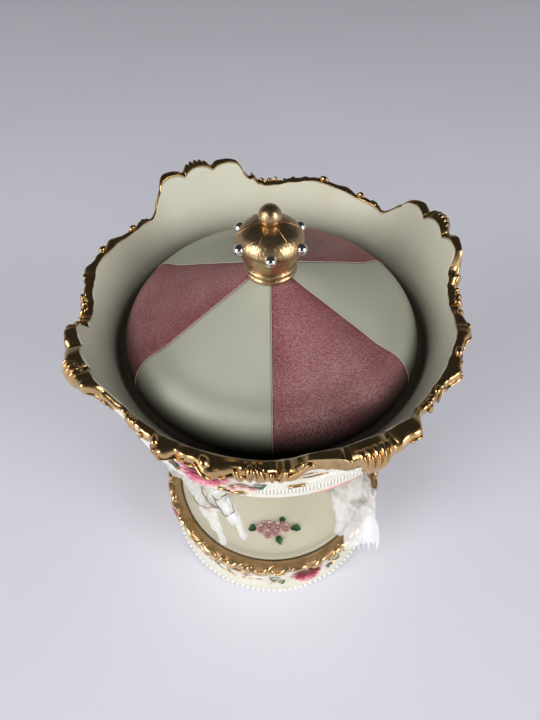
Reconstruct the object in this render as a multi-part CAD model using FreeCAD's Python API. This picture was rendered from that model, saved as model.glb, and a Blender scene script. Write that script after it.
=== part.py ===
import FreeCAD, Part
import math
import os

V = FreeCAD.Vector
Z = V(0, 0, 1)
O = V(0, 0, 0)

# all sizes in millimetres, +Z up, the base rests on z = 0, angles in degrees
# azimuths are counted from the front (-Y) towards +X

# fits
slip = 0.05        # radial play of a turning shaft
seat = 0.02        # radial play of a fixed fit
tooth_play = 0.35  # backlash of the gear teeth

# base
base_r = 55.4
base_wall_t = 2.8
base_foot_flare = 1.7
rim_w = 4.7
rim_top_z = 35.6
base_foot_r = base_r + base_foot_flare
base_inner_r = base_r - base_wall_t
rim_inner_r = base_r - rim_w
felt_t = 1.2
deck_under_z = 26.5
deck_top_z = 29.5
boss_r = 4.2
boss_inset = 6.6
boss_ring_r = base_inner_r - boss_inset

# platform
platform_gap = 0.5
platform_r = rim_inner_r - platform_gap
platform_bottom_z = 30.1
floor_z = 32.6

# bottom cover and key recess
cover_bottom_z = 6.0
cover_t = 2.0
cover_gap = 0.2
cover_r = base_inner_r - cover_gap
cover_screw_r = 1.4

# spindle and its bearing
spindle_r = 2.5
spindle_top_z = 186.0
bush_r = 5.0
bush_flange_r = 7.0
bush_flange_t = 0.6
bearing_pocket_z = 27.8
bearing_pocket_r = 11.0

# column, poles and ceiling
column_r = 5.6
column_foot_r = 9.0
column_bore_r = 3.4
ceiling_t = 2.5
pole_r = 1.6
pole_inset = 9.2
pole_ring_r = platform_r - pole_inset
ferrule_r = 3.2
ferrule_h = 2.4
pole_azimuths = (-56.0, 64.0, 184.0)

# canopy
canopy_edge_r = 60.4
canopy_edge_z = 130.7
canopy_lip_t = 0.5
canopy_band_h = 8.0
band_t = 3.0
ceiling_gap = 0.2
ceiling_r = canopy_edge_r - band_t - ceiling_gap
wall_t = 4.2
gutter_inset = 3.4
gutter_r = canopy_edge_r - gutter_inset
gutter_w = 4.0
gutter_z = 147.5
ledge_t = 2.5
ledge_w = 4.5
flare_mid_out = 5.3
flare_mid_r = gutter_r + flare_mid_out
flare_mid_z = 164.0
flare_top_out = 11.2
flare_top_r = gutter_r + flare_top_out
flare_top_z = 178.0
crest_azimuth = 24.0
crest_half_angle = 18.0
crest_notches = (167.0, 173.6, 174.2, 167.0)
crest_tops = (175.4, 176.8, 176.0)
low_notches = (165.8, 166.0, 167.0, 167.0, 166.0, 165.8)
low_tops = (167.4, 168.2, 169.6, 168.2, 167.4)

# roof dome
dome_r = gutter_r - gutter_w
dome_t = 2.2
ledge_inner_r = dome_r - ledge_w
dome_shoulder_w = 12.0
dome_shoulder_r = dome_r - dome_shoulder_w
dome_shoulder_z = 161.8
dome_apex_r = 6.0
dome_apex_z = 178.0

# crown
crown_foot_r = 8.7
groove = 0.6
crown_belly_r = 10.2
crown_belly_z = 188.5
crown_neck_r = 3.0
crown_neck_z = 195.6
ball_r = 3.4
ball_z = 198.9
pearl_r = 1.85
pearl_count = 6

# movement
bedplate_t = 2.0
bed_left = -21.0
bed_inset = 6.6
bed_right = base_inner_r - bed_inset
bed_front = -24.0
bed_back = 18.0
bed_corner_r = 9.0
arbor_r = 2.0
barrel_gap = 0.6
barrel_flange_t = 1.6
drum_r = 12.5
drum_wall_t = 1.0
drum_top_z = 21.0
lid_t = 1.5
spring_t = 0.35
spring_turns = 7.5
gear_module = 0.8
crown_teeth = 40
pinion_teeth = 10
gear_face = 2.2
shaft_r = 1.0
cylinder_r = 5.5
cylinder_start_x = 20.6
governor_room = 7.4
cylinder_len = bed_right - cylinder_start_x - governor_room
pin_r = 0.22
pin_h = 0.5
comb_gap = 0.8
comb_t = 1.0
comb_tooth_len = 9.0
comb_teeth = 18
bracket_t = 1.4
worm_module = 0.5
wheel_teeth = 24
worm_pitch_r = 1.7
worm_thread_h = 0.92
fly_shaft_r = 0.6
vane_r = 3.2
key_z = 1.4
key_h = 4.0
key_span = 26.0
key_t = 1.8

# horse
horse_z = 66.0
horse_yaws = (0.0, 31.0, 0.0)
barrel_half_w = 7.8

cover_top_z = cover_bottom_z + cover_t
bed_top_z = cover_top_z + bedplate_t
barrel_z = bed_top_z + barrel_gap
flange_top_z = barrel_z + barrel_flange_t
crown_r = gear_module * crown_teeth / 2
pinion_r = gear_module * pinion_teeth / 2
addendum = 0.8 * gear_module
dedendum = 1.12 * gear_module
axis_z = flange_top_z + dedendum + pinion_r
cylinder_end_x = cylinder_start_x + cylinder_len
wheel_x = cylinder_end_x + 0.8
wheel_w = 1.2
wheel_r = worm_module * wheel_teeth / 2
worm_y = wheel_r + worm_pitch_r
worm_x = wheel_x + wheel_w / 2
ceiling_z = canopy_edge_z + canopy_lip_t


def polar(radius, azimuth, z=0.0):
    a = math.radians(azimuth)
    return V(radius * math.sin(a), -radius * math.cos(a), z)


def cyl(radius, z0, z1, at=O):
    return Part.makeCylinder(radius, z1 - z0, V(at.x, at.y, z0))


def tube(outer, inner, z0, z1, at=O):
    return cyl(outer, z0, z1, at).cut(cyl(inner, z0 - 1, z1 + 1, at))


def rod(radius, a, b):
    d = b.sub(a)
    return Part.makeCylinder(radius, d.Length, a, d)


def cone(r0, r1, a, b):
    d = b.sub(a)
    if abs(r0 - r1) < 1e-6:
        return rod(r0, a, b)
    return Part.makeCone(r0, r1, d.Length, a, d)


def ball(radius, at):
    # the poles of the sphere lie aslant, off the planes the other solids meet in
    return Part.makeSphere(radius, at, V(1, 1, 1))


def fuse(shapes):
    return shapes[0].multiFuse(shapes[1:]).removeSplitter()


def path(start, steps):
    # each step is an end point, or a mid point and an end point for an arc, in (r, z)
    edges = []
    here = start
    for step in steps:
        if len(step) == 2:
            edges.append(Part.makeLine(V(here[0], 0, here[1]), V(step[0], 0, step[1])))
            here = step
        else:
            mid = V(step[0], 0, step[1])
            end = V(step[2], 0, step[3])
            edges.append(Part.Arc(V(here[0], 0, here[1]), mid, end).toShape())
            here = step[2:]
    if math.hypot(here[0] - start[0], here[1] - start[1]) > 1e-6:
        edges.append(Part.makeLine(V(here[0], 0, here[1]), V(start[0], 0, start[1])))
    return Part.Face(Part.Wire(edges))


def turned(start, steps, angle=360.0):
    return path(start, steps).revolve(O, Z, angle)


def spun(shape, angle):
    copy = shape.copy()
    copy.rotate(O, Z, angle)
    return copy


def moved(shape, vector):
    copy = shape.copy()
    copy.translate(vector)
    return copy


def slab(points, z0, z1):
    outline = Part.makePolygon([V(x, y, z0) for x, y in points + points[:1]])
    return Part.Face(outline).extrude(V(0, 0, z1 - z0))


def along_x(shape, x, z):
    # a shape made about +Z is laid along +X with its own +X turned to point down
    copy = shape.copy()
    copy.rotate(O, V(0, 1, 0), 90)
    copy.translate(V(x, 0, z))
    return copy


def spur(teeth, module, width, bore, phase=0.0):
    # straight-flanked wheel with a tooth centred on +X, thinned for backlash
    pitch_r = module * teeth / 2
    thick = math.pi * module / 2 - tooth_play * module / gear_module
    tip_r = pitch_r + 0.8 * module
    root_r = pitch_r - 1.12 * module
    slope = math.tan(math.radians(20))
    tip_half = (thick / 2 - 0.8 * module * slope) / tip_r
    root_half = (thick / 2 + 0.75 * module * slope) / root_r
    points = []
    for i in range(teeth):
        a = 2 * math.pi * i / teeth + math.radians(phase)
        for radius, off in ((root_r, -root_half), (tip_r, -tip_half), (tip_r, tip_half), (root_r, root_half)):
            points.append((radius * math.cos(a + off), radius * math.sin(a + off)))
    return slab(points, 0, width).cut(cyl(bore, -1, width + 1))


def export(name, shape):
    shape.exportStep("parts/%s.step" % name)


os.makedirs("parts", exist_ok=True)

# base shell: turned wall, rolled rim, deck with a bearing pocket and four screw bosses
base_shell = turned((base_inner_r, felt_t), [
    (base_foot_r - 0.4, felt_t),
    (base_foot_r, 3.4, base_foot_r - 0.4, 5.6),
    (base_r - 0.5, 8.6),
    (base_r - 0.6, 16.0, base_r, 26.5),
    (base_r + 0.9, 30.5),
    (base_r + 1.5, 33.0, base_r + 0.4, 34.9),
    (base_r - 1.2, rim_top_z + 0.2, base_r - 2.6, rim_top_z - 0.6),
    (rim_inner_r, floor_z + 0.6),
    (rim_inner_r, deck_top_z),
    (bearing_pocket_r, deck_top_z),
    (bearing_pocket_r, bearing_pocket_z),
    (bush_r + seat, bearing_pocket_z),
    (bush_r + seat, deck_under_z),
    (base_inner_r, deck_under_z)])
boss_points = [polar(boss_ring_r, az) for az in (45, 135, 225, 315)]
for p in boss_points:
    base_shell = base_shell.fuse(cyl(boss_r, cover_top_z, deck_under_z + 0.5, p))
    base_shell = base_shell.cut(cyl(cover_screw_r + seat, cover_top_z - 1, cover_top_z + 9, p))
export("base_shell", base_shell.removeSplitter())
export("felt_ring", tube(base_foot_r - 0.8, base_inner_r + 0.4, 0, felt_t))

# bottom cover, with holes for the winding arbor and the screws
bed_screw_points = [V(-14, -17, 0), V(-14, 12, 0), V(17, -20, 0), V(30, 12, 0)]
cover = cyl(cover_r, cover_bottom_z, cover_top_z).cut(cyl(arbor_r + 0.4, 0, 20))
for p in boss_points:
    cover = cover.cut(cyl(cover_screw_r + seat, 0, 20, p))
for p in bed_screw_points:
    cover = cover.cut(cyl(cover_screw_r + seat, 0, 20, p))
export("bottom_cover", cover)


def screws(points, head_z, length, head_r, shank_r, down):
    made = []
    for p in points:
        step = -1.0 if down else 1.0
        head = rod(head_r, V(p.x, p.y, head_z), V(p.x, p.y, head_z - step * 1.2))
        shank = rod(shank_r, V(p.x, p.y, head_z), V(p.x, p.y, head_z + step * length))
        slot = Part.makeBox(2 * head_r + 2, 0.6, 0.6, V(p.x - head_r - 1, p.y - 0.3, -0.3))
        slot.translate(V(0, 0, head_z - step * 1.2))
        made.append(head.fuse(shank).removeSplitter().cut(slot))
    return Part.makeCompound(made)


export("cover_screws", screws(boss_points, cover_bottom_z, cover_t + 8, 2.6, cover_screw_r, False))
export("bedplate_screws", screws(bed_screw_points, cover_bottom_z, cover_t + bedplate_t - 0.3, 2.6,
                                 cover_screw_r, False))

# movement bedplate with rounded corners
corners = [(bed_left, bed_front), (bed_right, bed_front), (bed_right, bed_back), (bed_left, bed_back)]
bedplate = slab(corners, cover_top_z, bed_top_z)
uprights = [e for e in bedplate.Edges if abs(e.BoundBox.ZLength - bedplate_t) < 1e-6]
bedplate = bedplate.makeFillet(bed_corner_r, uprights)
bedplate = bedplate.cut(cyl(arbor_r + slip, 0, 30))
bedplate = bedplate.cut(cyl(fly_shaft_r + slip, bed_top_z - 1.2, 30, V(worm_x, worm_y, 0)))
for p in bed_screw_points:
    bedplate = bedplate.cut(cyl(cover_screw_r + seat, 0, 30, p))
export("bedplate", bedplate)

# bearing of the spindle in the deck
export("bearing_bush", tube(bush_r, spindle_r + slip, deck_under_z, bearing_pocket_z).fuse(
    tube(bush_flange_r, spindle_r + slip, bearing_pocket_z, bearing_pocket_z + bush_flange_t)).removeSplitter())
washer_z = bearing_pocket_z + bush_flange_t
collar_z = washer_z + 0.65
export("thrust_washer", tube(bush_flange_r, spindle_r + 0.1, washer_z, collar_z - 0.05))

# turning parts under the platform
export("drive_collar", tube(8.0, spindle_r + seat, collar_z, platform_bottom_z))
spindle = cyl(spindle_r, drum_top_z + lid_t - 0.7, spindle_top_z)
export("main_spindle", spindle)

# spring barrel: drum with a contrate flange, a tooth gap centred on +X
barrel = turned((arbor_r + slip, barrel_z), [
    (crown_r + gear_face / 2 + 0.2, barrel_z),
    (crown_r + gear_face / 2 + 0.2, flange_top_z),
    (drum_r, flange_top_z),
    (drum_r, drum_top_z),
    (drum_r - drum_wall_t, drum_top_z),
    (drum_r - drum_wall_t, flange_top_z),
    (arbor_r + slip, flange_top_z)])
tooth_pitch = math.pi * gear_module
tooth_thick = tooth_pitch / 2 - tooth_play
tooth_slope = math.tan(math.radians(20))
half_tip = tooth_thick / 2 - addendum * tooth_slope
half_root = tooth_thick / 2 + dedendum * tooth_slope
tooth_outline = [(-half_root, -0.1), (half_root, -0.1), (half_tip, dedendum + addendum),
                 (-half_tip, dedendum + addendum)]
tooth_face = Part.Face(Part.makePolygon([V(crown_r - gear_face / 2, y, flange_top_z + z)
                                         for y, z in tooth_outline + tooth_outline[:1]]))
tooth = tooth_face.extrude(V(gear_face, 0, 0))
teeth = [spun(tooth, (i + 0.5) * 360.0 / crown_teeth) for i in range(crown_teeth)]
export("spring_barrel", fuse([barrel] + teeth))
lid = cyl(drum_r, drum_top_z, drum_top_z + lid_t)
lid = lid.cut(cyl(spindle_r + seat, drum_top_z + lid_t - 0.7, 40))
export("barrel_lid", lid)


def spiral(inner, pitch, turns, strip, z0, z1):
    # flat spring of half-circle arcs whose centres alternate, a quarter pitch either side
    outer_edges = []
    inner_edges = []
    side = 1.0
    radius = inner
    for i in range(int(2 * turns)):
        centre = V(side * pitch / 4, 0, z0)
        for rad, bag in ((radius, inner_edges), (radius + strip, outer_edges)):
            a = V(centre.x - side * rad, 0, z0)
            b = V(centre.x + side * rad, 0, z0)
            bag.append(Part.Arc(a, V(centre.x, side * rad, z0), b).toShape())
        radius += pitch / 2
        side = -side
    first = Part.makeLine(inner_edges[0].Vertexes[0].Point, outer_edges[0].Vertexes[0].Point)
    last = Part.makeLine(inner_edges[-1].Vertexes[-1].Point, outer_edges[-1].Vertexes[-1].Point)
    wire = Part.Wire(Part.__sortEdges__(inner_edges + [last] + outer_edges + [first]))
    return Part.Face(wire).extrude(V(0, 0, z1 - z0))


# the last turn of the spring bears on the drum wall
spring_start_r = arbor_r + 1.3
spring_pitch = (drum_r - drum_wall_t - seat - spring_t - spring_start_r) / (spring_turns - 0.25)
export("mainspring", spiral(spring_start_r, spring_pitch, spring_turns, spring_t, flange_top_z, drum_top_z - 0.4))

# winding arbor, its clutch spring and the two-winged key under the base
export("winding_arbor", cyl(arbor_r, key_z + 0.2, drum_top_z - 0.3))
export("clutch_spring", tube(arbor_r + 0.75, arbor_r + seat, flange_top_z + 0.4, drum_top_z - 0.5))
wing = slab([(-key_span / 2, -key_t / 2), (key_span / 2, -key_t / 2), (key_span / 2, key_t / 2),
             (-key_span / 2, key_t / 2)], key_z, key_z + key_h)
wing_ends = [e for e in wing.Edges if abs(e.BoundBox.YLength - key_t) < 1e-6]
wing = wing.makeFillet(1.4, wing_ends)
key = wing.fuse(cyl(4.0, key_z, key_z + key_h)).removeSplitter()
export("winding_key", key.cut(cyl(arbor_r + seat, key_z + 0.2, 30)))

# pinned cylinder on its shaft, with a pinion at the barrel and a wheel for the governor
shaft_start_x = crown_r - gear_face / 2 - 1.2
shaft_end_x = wheel_x + wheel_w + 3.6
export("cylinder_shaft", rod(shaft_r, V(shaft_start_x, 0, axis_z), V(shaft_end_x, 0, axis_z)))
pinion = spur(pinion_teeth, gear_module, gear_face, shaft_r + seat)
export("cylinder_pinion", along_x(pinion, crown_r - gear_face / 2, axis_z))
wheel = spur(wheel_teeth, worm_module, wheel_w, shaft_r + seat, 90 + 180.0 / wheel_teeth)
export("governor_wheel", along_x(wheel, wheel_x, axis_z))
drum = rod(cylinder_r, V(cylinder_start_x, 0, axis_z), V(cylinder_end_x, 0, axis_z))
pins = []
for track in range(comb_teeth):
    x = cylinder_start_x + (track + 0.5) * cylinder_len / comb_teeth
    for step in range(4):
        a = math.radians(90 * step + 37 * track + 11 * (track * step % 5))
        d = V(0, math.cos(a), math.sin(a))
        foot = V(x, 0, axis_z).add(d.multiply(cylinder_r - 0.4))
        out = V(0, math.cos(a), math.sin(a)).multiply(pin_h + 0.4)
        pins.append(rod(pin_r, foot, foot.add(out)))
drum = fuse([drum] + pins)
drum = drum.cut(rod(shaft_r + seat, V(0, 0, axis_z), V(80, 0, axis_z)))
export("pin_cylinder", drum)


def bracket(x):
    plate = Part.makeBox(bracket_t, 8.0, axis_z + 2.6 - bed_top_z, V(x, -4.0, bed_top_z))
    return plate.cut(rod(shaft_r + slip, V(x - 1, 0, axis_z), V(x + bracket_t + 1, 0, axis_z)))


inner_bracket = bracket(cylinder_start_x - 2.4)
outer_bracket = bracket(wheel_x + wheel_w + 1.2)
export("cylinder_brackets", Part.makeCompound([inner_bracket, outer_bracket]))

# steel comb on its base, one tooth for each track of pins
comb_front_y = -(cylinder_r + comb_gap)
comb_heel_y = comb_front_y - comb_tooth_len
comb_back_y = comb_heel_y - 7.0
comb_z = axis_z - comb_t / 2
comb = Part.makeBox(cylinder_len, comb_front_y - comb_back_y, comb_t, V(cylinder_start_x, comb_back_y, comb_z))
cuts = []
for i in range(1, comb_teeth):
    x = cylinder_start_x + i * cylinder_len / comb_teeth
    cuts.append(Part.makeBox(0.3, comb_tooth_len + 1, 3, V(x - 0.15, comb_heel_y, comb_z - 1)))
comb = comb.cut(Part.makeCompound(cuts))
comb_screw_points = [V(cylinder_start_x + 3.5, comb_heel_y - 3.5, 0),
                     V(cylinder_end_x - 3.5, comb_heel_y - 3.5, 0)]
block = Part.makeBox(cylinder_len, comb_heel_y - comb_back_y, comb_z - bed_top_z,
                     V(cylinder_start_x, comb_back_y, bed_top_z))
for p in comb_screw_points:
    comb = comb.cut(cyl(1.2 + seat, 0, 40, p))
    block = block.cut(cyl(1.2 + seat, bed_top_z + 1, 40, p))
export("comb", comb)
export("comb_base", block)
export("comb_screws", screws(comb_screw_points, comb_z + comb_t, 5.0, 2.0, 1.2, True))

# governor: upright worm and fly, driven by the wheel on the cylinder shaft
lead = math.pi * worm_module
thread_z0 = axis_z - 1.5 * lead
helix = Part.makeHelix(lead, 3 * lead, worm_pitch_r - 0.2)
root_w = 0.62
tip_w = 0.26
root_r = worm_pitch_r - 0.62
profile = Part.makePolygon([V(root_r, 0, -root_w / 2), V(root_r + worm_thread_h, 0, -tip_w / 2),
                            V(root_r + worm_thread_h, 0, tip_w / 2), V(root_r, 0, root_w / 2),
                            V(root_r, 0, -root_w / 2)])
thread = Part.Wire(helix.Edges).makePipeShell([profile], True, True)
worm = cyl(root_r + 0.08, -0.6, 3 * lead + 0.6).fuse(thread)
# the thread stands in a wheel gap, on the side that faces the wheel
worm.rotate(O, Z, 90)
worm.translate(V(worm_x, worm_y, thread_z0))
vane_z = axis_z + 4.9
arm_z = vane_z + 2.4
fly_axis = V(worm_x, worm_y, 0)
vane = Part.makeBox(2 * vane_r, 0.5, 1.9, V(worm_x - vane_r, worm_y - 0.25, vane_z))
fly_rod = cyl(fly_shaft_r, bed_top_z - 1.0, arm_z + 0.9, fly_axis)
export("governor_fly", fuse([fly_rod, worm, vane]))
post_y = worm_y + vane_r + 1.6
frame_points = [(worm_x - 2.5, post_y), (worm_x + 2.5, post_y), (worm_x + 2.5, post_y + 2.4),
                (worm_x - 2.5, post_y + 2.4)]
post = slab(frame_points, bed_top_z, arm_z + 1.2)
arm = Part.makeBox(5.0, post_y - worm_y + 2.0, 1.2, V(worm_x - 2.5, worm_y - 2.0, arm_z))
frame = post.fuse(arm).removeSplitter().cut(cyl(fly_shaft_r + slip, arm_z - 1, arm_z + 4, fly_axis))
export("governor_frame", frame)

# platform disc with pole sockets
pole_points = [polar(pole_ring_r, az) for az in pole_azimuths]
platform = cyl(platform_r, platform_bottom_z, floor_z).cut(cyl(spindle_r + seat, 0, 60))
for p in pole_points:
    platform = platform.cut(cyl(pole_r + seat, platform_bottom_z + 1.0, 60, p))
top_edges = [e for e in platform.Edges if e.BoundBox.ZLength < 1e-6 and e.BoundBox.XLength > 2 * platform_r - 1]
platform = platform.makeFillet(0.5, [e for e in top_edges if e.BoundBox.ZMin > floor_z - 0.1])
export("platform_disc", platform)

# turned column from platform to ceiling
column = turned((column_bore_r, floor_z), [
    (column_foot_r, floor_z),
    (column_foot_r, floor_z + 3.0),
    (column_r + 1.2, floor_z + 5.0),
    (column_r, floor_z + 9.0),
    (column_r, ceiling_z - 8.0),
    (column_r + 1.2, ceiling_z - 4.0),
    (column_foot_r, ceiling_z - 2.5),
    (column_foot_r, ceiling_z),
    (column_bore_r, ceiling_z)])
export("column", column)

# ceiling plate of the canopy
ceiling = cyl(ceiling_r, ceiling_z, ceiling_z + ceiling_t).cut(cyl(spindle_r + seat, 0, 300))
for p in pole_points:
    ceiling = ceiling.cut(cyl(pole_r + seat, 0, ceiling_z + ceiling_t - 0.8, p))
export("ceiling_plate", ceiling)

# poles and the ferrules at their ends
ferrules = []
for i, p in enumerate(pole_points):
    export("pole_%d" % (i + 1), cyl(pole_r, platform_bottom_z + 1.0, ceiling_z + ceiling_t - 0.8, p))
    for z0, z1, r0, r1 in ((floor_z, floor_z + ferrule_h, ferrule_r, pole_r + 0.6),
                           (ceiling_z - ferrule_h, ceiling_z, pole_r + 0.6, ferrule_r)):
        body = Part.makeCone(r0, r1, ferrule_h, V(p.x, p.y, z0))
        ferrules.append(body.cut(cyl(pole_r + seat, z0 - 1, z1 + 1, p)))
export("pole_ferrules", Part.makeCompound(ferrules))


def leg(points, radii):
    made = []
    for a, b, r0, r1 in zip(points, points[1:], radii, radii[1:]):
        made.append(cone(r0, r1, a, b))
        made.append(ball(r1, b))
    return made


def horse():
    # leaping horse, +X forward, +Z up, the pole on the Z axis and the barrel on the X axis
    w = barrel_half_w
    made = [rod(w, V(-11, 0, 0), V(10, 0, 0)), ball(w + 0.5, V(10.5, 0, 0.6)), ball(w + 0.8, V(-12, 0, 0.6))]
    made.append(rod(w + 0.9, V(-5, 0, 0.2), V(5, 0, 0.2)))
    made += leg([V(11, 0, 2), V(17.5, 0, 13), V(20.5, 0, 21)], [6.6, 4.7, 3.9])
    made += leg([V(20.5, 0, 21), V(27, 0, 16.5), V(31, 0, 12.5)], [3.9, 2.9, 2.1])
    for side in (1, -1):
        made.append(cone(1.3, 0.4, V(19, side * 1.9, 23), V(19.5, side * 2.4, 28)))
    fore = ((-1, V(19.5, -4.4, -9.5), V(23, -4.2, -19.5)), (1, V(22, 4.4, -7), V(28, 4.4, -14.5)))
    for side, knee, hoof in fore:
        made += leg([V(11, side * 4, -3), knee, hoof], [4.0, 2.4, 1.5])
        toe = hoof.add(hoof.sub(knee).normalize().multiply(2.6))
        made.append(cone(1.6, 2.3, hoof, toe))
    hind = ((-1, V(-20, -4.4, -8.5), V(-25, -4.2, -18.5)), (1, V(-18.5, 4.4, -9), V(-21, 4.2, -19.5)))
    for side, hock, hoof in hind:
        made += leg([V(-13, side * 4, -2.5), hock, hoof], [4.8, 2.5, 1.5])
        toe = hoof.add(hoof.sub(hock).normalize().multiply(2.6))
        made.append(cone(1.6, 2.3, hoof, toe))
    made += leg([V(-18.5, 0, 3.5), V(-26, 0, 3.5), V(-33, 0, -4), V(-37, 0, -13)], [2.4, 3.0, 2.5, 1.0])
    return fuse(made).cut(cyl(pole_r + seat, -40, 40))


one_horse = horse()
for i, (az, yaw) in enumerate(zip(pole_azimuths, horse_yaws)):
    placed = one_horse.copy()
    placed.rotate(O, Z, az + yaw)
    export("horse_%d" % (i + 1), moved(placed, polar(pole_ring_r, az, horse_z)))


def wall_sector(half_angle, azimuth, notches, tops):
    # a sector of the flared wall whose upper edge is a row of rounded lobes
    start = (gutter_r, gutter_z - ledge_t)
    outer = [(canopy_edge_r + 0.9, gutter_z - ledge_t),
             (flare_mid_r + wall_t, flare_mid_z, flare_top_r + wall_t, flare_top_z),
             (flare_top_r, flare_top_z),
             (flare_mid_r, flare_mid_z, gutter_r, gutter_z + 1.5)]
    sector = turned(start, outer, 2 * half_angle)
    sector.rotate(O, Z, -half_angle)
    lobes = len(tops)
    span = flare_top_r - 1.0
    edges = []
    for i in range(lobes):
        a0 = math.radians(half_angle * (2.0 * i / lobes - 1))
        a1 = math.radians(half_angle * (2.0 * (i + 1) / lobes - 1))
        left = V(0, span * math.sin(a0) if i else -span * 0.8, notches[i])
        right = V(0, span * math.sin(a1) if i < lobes - 1 else span * 0.8, notches[i + 1])
        mid = V(0, span * math.sin((a0 + a1) / 2), tops[i])
        if i == 0:
            near = V(0, span * math.sin(a0), notches[i])
            edges.append(Part.makeLine(left, near))
            left = near
        if i == lobes - 1:
            near = V(0, span * math.sin(a1), notches[i + 1])
            edges.append(Part.Arc(left, mid, near).toShape())
            edges.append(Part.makeLine(near, right))
        else:
            edges.append(Part.Arc(left, mid, right).toShape())
    low = gutter_z - ledge_t - 5
    a = edges[-1].Vertexes[-1].Point
    b = edges[0].Vertexes[0].Point
    edges += [Part.makeLine(a, V(0, a.y, low)), Part.makeLine(V(0, a.y, low), V(0, b.y, low)),
              Part.makeLine(V(0, b.y, low), b)]
    prism = Part.Face(Part.Wire(edges)).extrude(V(120, 0, 0))
    sector = sector.common(prism)
    sector.rotate(O, Z, azimuth - 90)
    return sector


# canopy: straight band with a lip and gutter ledge, and a gallery of eight sectors of scalloped wall
band = turned((ceiling_r - 1.0, canopy_edge_z), [
    (canopy_edge_r - 0.5, canopy_edge_z),
    (canopy_edge_r, canopy_edge_z + 0.8),
    (canopy_edge_r, canopy_edge_z + canopy_band_h),
    (canopy_edge_r + 0.9, gutter_z - ledge_t),
    (canopy_edge_r + 0.9, gutter_z),
    (ledge_inner_r, gutter_z),
    (ledge_inner_r, gutter_z - ledge_t),
    (ceiling_r + ceiling_gap, gutter_z - ledge_t),
    (ceiling_r + ceiling_gap, ceiling_z),
    (ceiling_r - 1.0, ceiling_z)])
sectors = [band]
for i in range(4):
    sectors.append(wall_sector(crest_half_angle, crest_azimuth + 90 * i, crest_notches, crest_tops))
    sectors.append(wall_sector(45 - crest_half_angle, crest_azimuth + 45 + 90 * i, low_notches, low_tops))
canopy = fuse(sectors)
below_gutter = cyl(100, canopy_edge_z - 10, gutter_z)
export("canopy_band", canopy.common(below_gutter))
export("canopy_gallery", canopy.cut(below_gutter))

# roof dome: straight slope from the crown, rounded shoulder, foot on the ledge
slope_len = math.hypot(dome_shoulder_r - dome_apex_r, dome_shoulder_z - dome_apex_z)
nx = (dome_apex_z - dome_shoulder_z) / slope_len
nz = (dome_shoulder_r - dome_apex_r) / slope_len
knee_r = dome_r - 3.1
knee_z = gutter_z + 9.5
dome = turned((dome_r, gutter_z), [
    (knee_r, knee_z, dome_shoulder_r, dome_shoulder_z),
    (dome_apex_r, dome_apex_z),
    (spindle_r + seat, dome_apex_z),
    (spindle_r + seat, dome_apex_z - dome_t * 1.2),
    (dome_apex_r - dome_t * nx, dome_apex_z - dome_t * nz),
    (dome_shoulder_r - dome_t * nx, dome_shoulder_z - dome_t * nz),
    (knee_r - dome_t * 0.75, knee_z - dome_t * 0.66, dome_r - dome_t, gutter_z)])
export("roof_dome", dome)

# crown finial: stepped foot, belly and ball, with a blind bore for the spindle
crown = turned((spindle_r + seat, dome_apex_z), [
    (crown_foot_r, dome_apex_z),
    (crown_foot_r, dome_apex_z + 1.1),
    (crown_foot_r - groove, dome_apex_z + 1.6),
    (crown_foot_r, dome_apex_z + 2.0),
    (crown_foot_r, dome_apex_z + 2.9),
    (crown_foot_r - groove, dome_apex_z + 3.4),
    (crown_foot_r, dome_apex_z + 4.4),
    (crown_belly_r - 0.4, crown_belly_z - 2.4, crown_belly_r, crown_belly_z),
    (crown_belly_r - 2.4, crown_belly_z + 4.6, crown_neck_r, crown_neck_z),
    (0, crown_neck_z),
    (0, spindle_top_z + 0.3),
    (spindle_r + seat, spindle_top_z + 0.3)])
crown = crown.fuse(ball(ball_r, V(0, 0, ball_z))).removeSplitter()
pearls = []
pearl_z = crown_belly_z + 1.4
for i in range(pearl_count):
    at = polar(crown_belly_r + 0.9, 360.0 * i / pearl_count, pearl_z)
    pearls.append(ball(pearl_r, at))
    crown = crown.cut(ball(pearl_r + seat, at))
export("crown_finial", crown)
export("crown_pearls", Part.makeCompound(pearls))
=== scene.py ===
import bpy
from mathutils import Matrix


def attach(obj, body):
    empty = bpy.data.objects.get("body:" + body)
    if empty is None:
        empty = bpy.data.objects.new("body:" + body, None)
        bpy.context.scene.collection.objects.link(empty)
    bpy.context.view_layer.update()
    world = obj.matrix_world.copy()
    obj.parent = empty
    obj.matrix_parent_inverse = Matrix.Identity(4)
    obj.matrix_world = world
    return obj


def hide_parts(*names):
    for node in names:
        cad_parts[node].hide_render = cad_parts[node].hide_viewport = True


bl_info = {
    "name": "Carousel Music Box",
    "version": (1, 0, 0),
    "blender": (4, 5, 0),
    "location": "3D View > Sidebar > Carousel",
    "description": "Dresses the carousel music box with its porcelain, gilding, flowers and clear horses",
    "category": "Add Mesh",
}

import bisect
import math
import bpy
from bpy.props import FloatProperty, FloatVectorProperty, IntProperty, PointerProperty
from bpy.types import NodeSocket, Operator, Panel, PropertyGroup
from mathutils import Matrix, Vector, noise

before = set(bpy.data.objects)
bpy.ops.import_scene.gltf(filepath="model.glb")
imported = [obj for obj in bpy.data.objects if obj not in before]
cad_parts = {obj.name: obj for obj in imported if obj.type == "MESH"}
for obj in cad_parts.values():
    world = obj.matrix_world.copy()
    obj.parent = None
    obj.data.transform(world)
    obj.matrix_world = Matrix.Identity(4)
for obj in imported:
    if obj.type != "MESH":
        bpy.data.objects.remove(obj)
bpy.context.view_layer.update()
MM = 0.001
UPRIGHT = (0, 0, 1)
QUARTERS = (0, 90, 180, 270)
RESIN, GOLD = "ivory_resin", "antique_gold"


def length(name, text, value):
    return FloatProperty(name=name, description=text, default=value * MM, unit="LENGTH")


def tint(name, text, value):
    return FloatVectorProperty(name=name, description=text, default=value, subtype="COLOR", min=0, max=1)


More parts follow.
